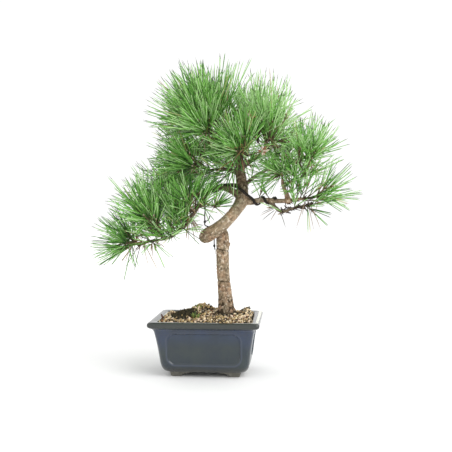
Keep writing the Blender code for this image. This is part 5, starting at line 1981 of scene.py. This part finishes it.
@dataclass
class Wires:
    """The two training strands and the tie wire."""

    strand_radius: float = 0.0014
    strand_gap: float = 0.0015
    step: float = 0.0016
    sides: int = 10
    thread_radius: float = 0.0005
    knots: Route = ((-0.0034, -0.0060, 0.2835), (0.0135, 0.0006, 0.2375))
    knot_points: int = 18
    knot_coil: float = 0.0014
    knot_rise: float = 0.00022
    knot_turn: float = 0.8
    knot_radius: float = 0.0011
    loose_end: Route = ((-0.0030, -0.0080, 0.2855), (0.0020, -0.0095, 0.2875),
                        (0.0055, -0.0095, 0.2915), (0.0066, -0.0095, 0.2965))
    loose_radius: float = 0.0009
    thread_start: int = 10
    coat: MottledFinish = MottledFinish(
        "wire_brown",
        ((0.0, (0.016, 0.013, 0.011)), (0.6, (0.036, 0.028, 0.023)), (1.0, (0.075, 0.06, 0.05))),
        (0.35, 0.55), 0.55, 300.0, 2500.0, 0.0001)
    dull: MottledFinish = MottledFinish(
        "wire_dull", ((0.0, (0.020, 0.018, 0.016)), (0.7, (0.050, 0.045, 0.04)), (1.0, (0.10, 0.09, 0.08))),
        (0.35, 0.55), 0.6, 300.0, 2500.0, 0.0001)
    pale: PlainTone = PlainTone("thread_pale", (0.55, 0.52, 0.46), 0.5)

    def build(self, bench: Bench, skeleton: Skeleton) -> None:
        """Lays the wires along their routes.

        Args:
            bench: Where the pieces are put.
            skeleton: The limbs and the routes.
        """
        strands = [(self.beside(skeleton, side), self.strand_radius) for side in (-1.0, 1.0)]
        tied = skeleton.tie_points[:self.thread_start + 1]
        ties = [(tied, skeleton.tie_radius)]
        ties += [(self.knot(Vector(place)), self.knot_radius) for place in self.knots]
        ties += [(self.loose_end, self.loose_radius)]
        thread = [(skeleton.tie_points[self.thread_start:], self.thread_radius)]
        for name, tubes, finish, slot, replaces in (
            ("training_strands", strands, self.coat, Slot.WIRE, ["training_wire"]),
            ("tie_strand", ties, self.dull, Slot.TIE, ["tie_wire"]),
            ("tie_thread", thread, self.pale, Slot.TIE, []),
        ):
            shape = bmesh.new()
            for points, radius in tubes:
                limb = Limb("wire", [(*point, 2.0 * radius) for point in points], self.step)
                loft(shape, [limb.ring(i, self.sides) for i in range(len(limb.points))])
            bench.piece(name, mesh_of(shape), [finish.material()], replaces)

    def knot(self, place: Vector) -> list[Vector]:
        """The route of one knot's coil."""
        coil, turn = self.knot_coil, self.knot_turn
        return [place + Vector((coil * math.cos(t * turn), coil * math.sin(t * turn), self.knot_rise * t))
                for t in range(self.knot_points)]

    def beside(self, skeleton: Skeleton, side: float) -> list[Vector]:
        """Finds the route of one strand.

        Args:
            skeleton: The limbs and the routes.
            side: On which side of the pair's middle it runs, -1 or 1.

        Returns:
            The strand's points.
        """
        route = skeleton.training
        centres = [point for limb in skeleton.limbs.values() for point in limb.points]
        moved = []
        for point, tangent in zip(route.points, route.tangents):
            nearest = min(centres, key=lambda centre: (centre - point).length)
            across = tangent.cross((point - nearest).normalized()).normalized()
            moved.append(point + across * side * self.strand_gap)
        return moved


@dataclass
class Pot:
    """The glazed pot with its lip, recessed panels and bracket feet."""

    lip_length: float = 0.205
    lip_width: float = 0.158
    corner_radius: float = 0.006
    corner_growth: float = 0.35
    corner_steps: int = 14
    long_steps: int = 150
    short_steps: int = 96
    profile_step: float = 0.0013
    panel_depth: float = 0.0022
    panel_edge: float = 0.0030
    panel_low: float = 0.0235
    panel_high: float = 0.084
    panel_radius: float = 0.016
    panel_long: float = 0.136
    panel_short: float = 0.092
    bead_height: float = 0.0007
    bead_out: float = 0.0008
    bead_width: float = 0.0015
    wall_low: float = 0.012
    wall_high: float = 0.0915
    wall_inset: float = 0.010
    glaze_corner: tuple[float, float] = (0.070, 0.047)
    foot_inset: float = 0.0385
    foot_forward: float = 0.0035
    foot_size: float = 0.0205
    foot_flare: float = 0.021
    foot_flare_across: float = 0.0126
    foot_draft: float = 0.2
    foot_corner: float = 0.0026
    sole_corner: float = 0.0034
    sole_pull: float = 0.0006
    sole_height: float = 0.0005
    # Each pair is how far the wall stands in from the lip's edge, and its height
    outside: tuple[tuple[float, float], ...] = (
        (0.0370, 0.0085), (0.0310, 0.0088), (0.0265, 0.0104), (0.0238, 0.0138), (0.0216, 0.0186),
        (0.0200, 0.0250), (0.0187, 0.0340), (0.0165, 0.0510), (0.0138, 0.0680), (0.0116, 0.0800),
        (0.0100, 0.0868), (0.0080, 0.0906), (0.0056, 0.0926), (0.0034, 0.0938), (0.0014, 0.0952),
        (0.0000, 0.0985), (0.0006, 0.1022), (0.0030, 0.1044), (0.0060, 0.1050), (0.0100, 0.1048),
        (0.0145, 0.1040), (0.0162, 0.1025), (0.0168, 0.0990), (0.0175, 0.0940), (0.0200, 0.0860),
    )
    inside: tuple[tuple[float, float], ...] = ((0.0240, 0.0500), (0.0340, 0.0210))
    # Each pair is a height of the foot, and its share of the flare
    foot_ogee: tuple[tuple[float, float], ...] = (
        (0.0, 0.0), (0.0010, 0.004), (0.0018, 0.01), (0.0028, 0.05), (0.0038, 0.10), (0.0047, 0.20),
        (0.0056, 0.34), (0.0063, 0.52), (0.0070, 0.72), (0.0080, 0.90), (0.0090, 1.0), (0.0115, 1.0),
    )
    clay: MottledFinish = MottledFinish(
        "clay_bare", ((0.0, (0.080, 0.078, 0.066)), (0.5, (0.140, 0.136, 0.115)), (1.0, (0.22, 0.21, 0.18))),
        (0.7, 0.9), 0.0, 120.0, 1500.0, 0.0004)

    def build(self, bench: Bench) -> None:
        """Makes the glazed shell and the bare feet.

        Args:
            bench: Where the pieces are put.
        """
        profile = smooth_route([(inset, 0.0, height) for inset, height in self.outside], self.profile_step)
        levels = [(point.x, point.z) for point in profile] + list(self.inside)
        shape = bmesh.new()
        loft(shape, [self.outline(max(0.0, inset), height) for inset, height in levels])
        marks = self.press_panels(shape)
        mesh = mesh_of(shape)
        self.mask(mesh, marks)
        bench.piece("pot_shell", mesh, [GlazeFinish().material()], ["pot"])
        shape = bmesh.new()
        for side_x in (-1, 1):
            for side_y in (-1, 1):
                self.foot(shape, side_x, side_y)
        bmesh.ops.recalc_face_normals(shape, faces=shape.faces[:])
        bench.piece("pot_feet", mesh_of(shape), [self.clay.material()], ["pot"])

    def outline(self, inset: float, height: float) -> list[Vector]:
        """Outlines the pot at a height, with as many points whatever its size.

        Args:
            inset: How far the outline stands in from the lip's edge.
            height: Its height.

        Returns:
            The outline's points.
        """
        radius = self.corner_radius + self.corner_growth * inset
        half_x = self.lip_length / 2.0 - inset - radius
        half_y = self.lip_width / 2.0 - inset - radius

        def corner(quarter: int, share: float) -> Vector:
            """A point of a corner, a share of the way round it."""
            side_x, side_y = QUARTERS[quarter % 4]
            turn = (quarter + share) * math.pi / 2.0
            return Vector((side_x * half_x + radius * math.cos(turn),
                           side_y * half_y + radius * math.sin(turn), height))

        points = []
        for quarter in range(4):
            points += [corner(quarter, k / self.corner_steps) for k in range(self.corner_steps + 1)]
            steps = self.short_steps if quarter % 2 else self.long_steps
            start, finish = points[-1], corner(quarter + 1, 0.0)
            points += [start.lerp(finish, k / steps) for k in range(1, steps)]
        return points

    def panel_distance(self, along: float, height: float, length: float) -> float:
        """Measures how far a point of a wall lies outside its panel's outline.

        Args:
            along: How far the point lies from the wall's middle.
            height: Its height.
            length: The panel's length.

        Returns:
            The distance, negative inside.
        """
        tall = self.panel_high - self.panel_low
        across = abs(along) - (length / 2.0 - self.panel_radius)
        up = abs(height - (self.panel_high + self.panel_low) / 2.0) - (tall / 2.0 - self.panel_radius)
        outer = math.hypot(max(across, 0.0), max(up, 0.0))
        return outer + min(max(across, up), 0.0) - self.panel_radius

    def press_panels(self, shape: bmesh.types.BMesh) -> list[tuple[float, float]]:
        """Sinks a panel into each wall and raises a thin bead round it.

        Args:
            shape: The shell.

        Returns:
            For each of its points the share of a bead and of a panel's depth.
        """
        marks = []
        for vert in shape.verts:
            x, y, z = vert.co
            bead = deep = 0.0
            inset_x = self.lip_length / 2.0 - abs(x)
            inset_y = self.lip_width / 2.0 - abs(y)
            if self.wall_low < z < self.wall_high and max(inset_x, inset_y) > self.wall_inset:
                front = inset_y < inset_x
                length = self.panel_long if front else self.panel_short
                away = self.panel_distance(x if front else y, z, length)
                deep = smooth_share(0.0, -self.panel_edge, away)
                bead = math.exp(-((away - self.bead_out) / self.bead_width) ** 2)
                inward = (0.0, -math.copysign(1.0, y), 0.0) if front else (-math.copysign(1.0, x), 0.0, 0.0)
                vert.co += Vector(inward) * (deep * self.panel_depth - bead * self.bead_height)
            marks.append((bead, deep))
        return marks

    def mask(self, mesh: bpy.types.Mesh, marks: list[tuple[float, float]]) -> None:
        """Keeps where the glaze pools, where painted highlights lie near the upper corners and along the
        panels' beads, where it breaks, and where it turns greenish at the rim.

        Args:
            mesh: The shell.
            marks: For each of its points the share of a bead and of a panel's depth.
        """
        masks: dict[str, list[float]] = {"pool_and_highlight": [], "broken": [], "rim": [], "bead": []}
        for vert, (bead, deep) in zip(mesh.vertices, marks):
            x, y, z = vert.co
            corner = math.hypot(*(max(0.0, abs(v) - edge) for v, edge in zip((x, y), self.glaze_corner)))
            # Bluer glaze near the upper corners, outside the panels: a painted highlight.
            painted_corner_highlight = smooth_share(0.004, 0.022, corner) * (1.0 - deep)
            band = smooth_share(0.082, 0.0900, z) * (1.0 - smooth_share(0.0925, 0.0940, z))
            low = 1.0 - smooth_share(0.012, 0.024, z)
            upper = smooth_share(0.040, 0.075, z)
            inner = deep * smooth_share(0.055, 0.085, z)
            edge = smooth_share(0.016, 0.026, corner) * (1.0 - 0.6 * upper)
            masks["pool_and_highlight"].append(min(1.0, 0.8 * band + 0.8 * painted_corner_highlight * upper + 0.75 * inner))
            masks["broken"].append(min(1.0, 0.9 * edge + 0.8 * low))
            masks["rim"].append(smooth_share(0.0915, 0.0945, z))
            # The bead mask carries the painted highlight on the panels' beads.
            masks["bead"].append(bead * (1.0 - 0.7 * smooth_share(0.070, 0.085, z)))
        keep_masks(mesh, masks)

    def foot(self, shape: bmesh.types.BMesh, side_x: int, side_y: int) -> None:
        """Adds a bracket foot, square below and flared in an ogee towards the pot's middle.

        Args:
            shape: The bmesh that takes it.
            side_x: The sign of X at its corner.
            side_y: The sign of Y there.
        """
        rings = []
        for height, flare in self.foot_ogee:
            outer = self.foot_inset - self.foot_draft * height
            inner = self.foot_inset + self.foot_size
            outer_x = self.lip_length / 2.0 - outer
            outer_y = self.lip_width / 2.0 - outer + self.foot_forward
            inner_x = self.lip_length / 2.0 - self.foot_inset - self.foot_size - self.foot_flare * flare
            inner_y = self.lip_width / 2.0 - self.foot_inset - self.foot_size - self.foot_flare_across * flare
            sole = height < self.sole_height
            soft = self.sole_corner if sole else self.foot_corner
            round_off = soft - (self.sole_pull if sole else 0.0)
            half_x = (outer_x - inner_x) / 2.0 - soft
            half_y = (outer_y - inner_y) / 2.0 - soft
            ring = []
            for quarter, (sign_x, sign_y) in enumerate(QUARTERS):
                for step in range(5):
                    turn = (quarter + step / 4.0) * math.pi / 2.0
                    x = (outer_x + inner_x) / 2.0 + sign_x * half_x + round_off * math.cos(turn)
                    y = (outer_y + inner_y) / 2.0 + sign_y * half_y + round_off * math.sin(turn)
                    ring.append(Vector((side_x * x, side_y * y, height)))
            rings.append(ring)
        loft(shape, rings)


@dataclass
class Ground:
    """The gravel over the soil, with moss, a sprig, a twig stub and a lichened clump."""

    stones: int = 2500
    mouth: tuple[float, float] = (0.084, 0.0605)
    mouth_corner: float = 0.011
    strewn: tuple[float, float] = (0.086, 0.062)
    stone_sizes: tuple[float, float] = (0.0019, 0.0037)
    stone_corners: int = 14
    shapes: int = 6
    trunk_x: float = 0.0363
    trunk_clear: tuple[float, float] = (0.0135, 0.021)
    hump: tuple[float, float] = (-0.043, -0.012)
    hump_reach: float = 0.025
    heap: float = 0.0038
    tones: tuple[PlainTone, ...] = (
        PlainTone("stone_cream", (0.82, 0.68, 0.46), 0.85),
        PlainTone("stone_tan", (0.40, 0.29, 0.15), 0.88),
        PlainTone("stone_gold", (0.55, 0.39, 0.18), 0.85),
        PlainTone("stone_rust", (0.24, 0.12, 0.055), 0.88),
        PlainTone("stone_brown", (0.10, 0.068, 0.038), 0.9),
        PlainTone("stone_grey", (0.24, 0.215, 0.17), 0.85),
        PlainTone("stone_blush", (0.82, 0.64, 0.48), 0.8),
        PlainTone("stone_dark", (0.030, 0.024, 0.018), 0.9),
    )
    shares: tuple[float, ...] = (0.30, 0.20, 0.10, 0.06, 0.11, 0.06, 0.11, 0.06)
    # Each patch of moss: its middle, its reach along X and Y, how many tufts, the tones it takes
    patches: tuple[tuple[float, float, float, float, int, tuple[int, ...]], ...] = (
        # The hump's black tufts are dark moss and painted shade of the shadowed lump.
        (-0.0430, -0.013, 0.025, 0.029, 2600, (0, 0, 0, 1)),
        (-0.0215, 0.018, 0.008, 0.010, 330, (3, 3, 4, 2)),
        (0.0750, 0.004, 0.010, 0.013, 300, (5, 5, 6, 1)),
        (0.0375, -0.006, 0.022, 0.020, 800, (0, 0, 0, 1)),
    )
    moss_tones: tuple[PlainTone, ...] = (
        # Black moss, which on the hump also serves as painted shade.
        PlainTone("moss_black_and_shade", (0.022, 0.019, 0.011), 0.95),
        PlainTone("moss_brown", (0.075, 0.060, 0.030), 0.95),
        PlainTone("moss_olive", (0.11, 0.115, 0.035), 0.9),
        PlainTone("moss_green", (0.22, 0.28, 0.06), 0.9),
        PlainTone("moss_yellow", (0.42, 0.42, 0.11), 0.9),
        PlainTone("lichen_grey", (0.42, 0.40, 0.33), 0.9),
        PlainTone("lichen_tan", (0.36, 0.25, 0.14), 0.9),
    )
    sprig: Triple = (-0.0205, -0.030, 0.101)
    sprig_leaves: int = 9
    leaf_tones: tuple[PlainTone, ...] = (
        PlainTone("leaf_green", (0.060, 0.095, 0.020), 0.5),
        PlainTone("leaf_light", (0.19, 0.25, 0.06), 0.5),
    )
    stub: Route = ((-0.0810, -0.030, 0.097, 0.0040), (-0.0815, -0.030, 0.106, 0.0036),
                   (-0.0835, -0.030, 0.1130, 0.0024))
    earth: MottledFinish = MottledFinish(
        "earth_dark", ((0.0, (0.022, 0.015, 0.010)), (0.5, (0.06, 0.042, 0.027)), (1.0, (0.14, 0.105, 0.07))),
        (0.85, 0.97), 0.0, 260.0, 1300.0, 0.0008)
    stub_bark: MottledFinish = MottledFinish(
        "stub_red", ((0.0, (0.04, 0.018, 0.014)), (0.6, (0.10, 0.042, 0.028)), (1.0, (0.20, 0.10, 0.06))),
        (0.8, 0.95), 0.0, 400.0, 2000.0, 0.0006)

    def build(self, bench: Bench, frame: dict) -> None:
        """Dresses the soil.

        Args:
            bench: Where the pieces are put.
            frame: The loaded frame.
        """
        soil = frame["nodes"]["soil"]
        soil.data.materials.clear()
        soil.data.materials.append(self.earth.material())
        self.bvh = BVHTree.FromPolygons(
            [vert.co - bench.home for vert in soil.data.vertices],
            [list(face.vertices) for face in soil.data.polygons],
        )
        self.gravel(bench)
        rng = random.Random(9)
        bench.piece("moss_tufts", self.moss(rng), mixed(self.moss_tones), smooth=False)
        bench.piece("leaf_sprig", self.leaves(rng), mixed(self.leaf_tones))
        stub = Limb("stub", self.stub, 0.001)
        shape = bmesh.new()
        loft(shape, [stub.ring(i, 10, 1.0 + 0.15 * noise.noise(Vector((i * 0.8, 0.0, 0.0))))
                     for i in range(len(stub.points))])
        bench.piece("twig_stub", mesh_of(shape), [self.stub_bark.material()])

    def surface(self, x: float, y: float) -> float:
        """The soil's height at a place."""
        hit = self.bvh.ray_cast(Vector((x, y, 0.2)), -UP)
        return hit[0].z if hit[0] is not None else 0.097

    def inside(self, x: float, y: float, margin: float) -> bool:
        """Tries whether a place lies within the pot's mouth.

        Args:
            x: Its X.
            y: Its Y.
            margin: How far it has to stay from the edge.

        Returns:
            Whether it does.
        """
        half_x, half_y = self.mouth[0] - margin, self.mouth[1] - margin
        if abs(x) > half_x or abs(y) > half_y:
            return False
        corner = self.mouth_corner - margin
        over = math.hypot(max(0.0, abs(x) - half_x + corner), max(0.0, abs(y) - half_y + corner))
        return over < corner

    def pebble(self, seed: int) -> Template:
        """Makes one angular stone of a couple of dozen faces.

        Args:
            seed: What its corners are drawn by.

        Returns:
            The stone.
        """
        rng = random.Random(seed)
        shape = bmesh.new()
        for _ in range(self.stone_corners):
            way = scattered(rng).normalized()
            shape.verts.new(way * rng.uniform(0.78, 1.05))
        bmesh.ops.convex_hull(shape, input=shape.verts[:])
        loose = [vert for vert in shape.verts if not vert.link_faces]
        bmesh.ops.delete(shape, geom=loose, context="VERTS")
        return Template.of(shape)

    def bare(self, x: float, y: float, rng: random.Random) -> bool:
        """Tries whether a place stays free of stones, for the trunk's foot or the moss hump.

        Args:
            x: Its X.
            y: Its Y.
            rng: Draws the stones that stay at the edge of either.

        Returns:
            Whether it does.
        """
        away = math.hypot(x - self.trunk_x, y)
        hump = math.hypot((x - self.hump[0]) / 0.85, y - self.hump[1])
        near, far = self.trunk_clear
        return away < near or away < far and rng.random() < 0.7 or (
            hump < self.hump_reach and rng.random() < 0.93)

    def gravel(self, bench: Bench) -> None:
        """Strews the stones over the soil in two layers.

        Args:
            bench: Where the pieces are put.
        """
        rng = random.Random(5)
        materials = mixed(self.tones)
        swarms = [Swarm(self.pebble(seed)) for seed in range(self.shapes)]
        for n in range(self.stones):
            x, y = (rng.uniform(-half, half) for half in self.strewn)
            size = rng.uniform(*self.stone_sizes) * (0.75 if rng.random() < 0.35 else 1.0)
            if not self.inside(x, y, size * 0.2) or self.bare(x, y, rng):
                continue
            layer = 0.15 if n % 5 < 3 else 0.95
            z = self.surface(x, y) + size * layer + self.heap * smooth_share(0.068, 0.080, abs(x))
            turn = Matrix.Rotation(rng.uniform(0, 6.28), 3, scattered(rng))
            squash = (rng.uniform(0.8, 1.25), rng.uniform(0.7, 1.0), rng.uniform(0.6, 0.9))
            tone = rng.choices(range(len(self.tones)), self.shares)[0]
            if math.hypot(x - self.trunk_x, y + 0.004) < 0.026 and rng.random() < 0.35:
                tone = 7 if rng.random() < 0.4 else 4
            axes = [turn @ axis * size * wide for axis, wide in zip(Matrix.Identity(3), squash)]
            swarms[n % self.shapes].add(Vector((x, y, z)), axes, None, (tone,))
        for k, swarm in enumerate(swarms, start=1):
            bench.piece(f"gravel_{k}", swarm.mesh(), materials, smooth=False)

    def moss(self, rng: random.Random) -> bpy.types.Mesh:
        """Makes the moss hump, whose black tufts are partly painted shade, the yellow-green moss and the
        lichened clump.

        Args:
            rng: Draws the tufts.

        Returns:
            Their tufts in one mesh.
        """
        tufts = Swarm(Template.spire(4, ((0.0, 1.0), (0.5, 0.8))))
        for x, y, wide, deep, count, tones in self.patches:
            for _ in range(count):
                turn = rng.uniform(0.0, FULL_TURN)
                away = math.sqrt(rng.random())
                px, py = x + math.cos(turn) * away * wide, y + math.sin(turn) * away * deep
                if not self.inside(px, py, 0.001):
                    continue
                foot = Vector((px, py, self.surface(px, py) - 0.0005))
                lean = Vector((rng.gauss(0, 0.35), rng.gauss(0, 0.35), 1.0)).normalized()
                lump = max(0.0, noise.noise(foot * 210.0))
                size = rng.uniform(0.0025, 0.0048) * (1.0 + 1.6 * lump)
                tone = rng.choice(tones) if lump < 0.25 or rng.random() < 0.4 else tones[-1]
                tufts.rod(foot, lean * size, 0.0012, rng.random(), None, (tone,))
        return tufts.mesh()

    def leaves(self, rng: random.Random) -> bpy.types.Mesh:
        """Makes the sprig's leaves.

        Args:
            rng: Draws their lengths.

        Returns:
            The leaves in one mesh.
        """
        blades = Swarm(Template.spire(4, ((0.0, 0.5), (0.35, 1.0), (0.7, 0.7))))
        x, y, z = self.sprig
        for k in range(self.sprig_leaves):
            turn = k * GOLDEN_ANGLE
            foot = Vector((x + 0.0016 * math.cos(turn), y + 0.0016 * math.sin(turn), z))
            way = Vector((0.30 * math.cos(turn) + 0.15, 0.30 * math.sin(turn), 1.0)).normalized()
            blades.rod(foot, way * rng.uniform(0.013, 0.022), 0.0030, turn, circle(turn) * 0.004, (k % 2,))
        return blades.mesh()


@dataclass
class Studio:
    """The plain pale studio with the photograph's camera."""

    camera_place: Triple = (0.164, -1.287, 0.327)
    yaw: float = 5.67
    pitch: float = -2.22
    roll: float = -0.35
    focal_pixels: float = 684.0
    frame_pixels: float = 452.0
    sensor: float = 36.0
    floor_size: float = 6.0
    floor_drop: float = 0.0002
    floor_tone: Colour = (0.93, 0.93, 0.93)
    ambient: float = 1.05
    sun: float = 1.5
    sun_softness: float = 48.0
    sun_from: Triple = (0.95, -0.52, 0.90)
    kicker: float = 0.33
    kicker_size: float = 0.28
    kicker_tint: Colour = (1.0, 1.0, 0.82)
    kicker_from: Triple = (0.115, 1.3, 0.34)
    kicker_at: Triple = (0.0, 0.0, 0.28)

    def build(self, bench: Bench) -> None:
        """Sets the camera, the floor and the lights.

        Args:
            bench: Where the pot's middle is known.
        """
        data = bpy.data.cameras.new("camera")
        data.sensor_width = self.sensor
        data.lens = self.focal_pixels / self.frame_pixels * self.sensor
        camera = stand("camera", data)
        turns = ((self.yaw, "Z"), (90.0 + self.pitch, "X"), (self.roll, "Z"))
        yaw, pitch, roll = (Matrix.Rotation(math.radians(angle), 4, axis) for angle, axis in turns)
        place = Matrix.Translation(bench.home + Vector(self.camera_place))
        camera.matrix_world = place @ (yaw @ pitch @ roll)
        bpy.context.scene.camera = camera
        bpy.context.scene.view_settings.view_transform = "Standard"
        self.floor()
        self.lights()

    def floor(self) -> None:
        """Lays a wide pale floor."""
        shape = bmesh.new()
        bmesh.ops.create_grid(shape, x_segments=2, y_segments=2, size=self.floor_size)
        mesh = mesh_of(shape)
        mesh.transform(Matrix.Translation((0.0, 0.0, -self.floor_drop)))
        mesh.materials.append(PlainTone("studio_floor", self.floor_tone, 0.9, 0.5).material())
        stand("studio_floor", mesh)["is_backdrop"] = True

    def lights(self) -> None:
        """Sets a white world, a soft key light from the upper right and a small one behind."""
        world = bpy.data.worlds.new("studio")
        world.use_nodes = True
        background = world.node_tree.nodes["Background"]
        background.inputs["Color"].default_value = (1.0, 1.0, 1.0, 1.0)
        background.inputs["Strength"].default_value = self.ambient
        bpy.context.scene.world = world
        sun = bpy.data.lights.new("sky_key", "SUN")
        sun.energy = self.sun
        sun.angle = math.radians(self.sun_softness)
        self.aim(stand("sky_key", sun), -Vector(self.sun_from), Vector())
        light = bpy.data.lights.new("kicker", "AREA")
        light.size = self.kicker_size
        light.energy = self.kicker
        light.color = self.kicker_tint
        start = Vector(self.kicker_from)
        self.aim(stand("kicker", light), Vector(self.kicker_at) - start, start)

    @staticmethod
    def aim(item: bpy.types.Object, way: Vector, place: Vector) -> None:
        """Turns a light the way it shines, at its place."""
        turn = way.to_track_quat("-Z", "Y").to_matrix().to_4x4()
        item.matrix_world = Matrix.Translation(place) @ turn


def corners(box: tuple[Vector, Vector]) -> list[list[float]]:
    """A box as plain lists of numbers."""
    return [list(corner) for corner in box]


def main() -> None:
    """Builds the object's looks round the frame, piece by piece."""
    logging.basicConfig(level=logging.INFO, format="%(message)s")
    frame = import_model()
    bench = Bench()
    Studio().build(bench)
    skeleton = Skeleton()
    Foliage().build(bench, skeleton)
    BarkedLimbs().build(bench)
    Wires().build(bench, skeleton)
    Pot().build(bench)
    Ground().build(bench, frame)
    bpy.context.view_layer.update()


if __name__ == "__main__":
    main()
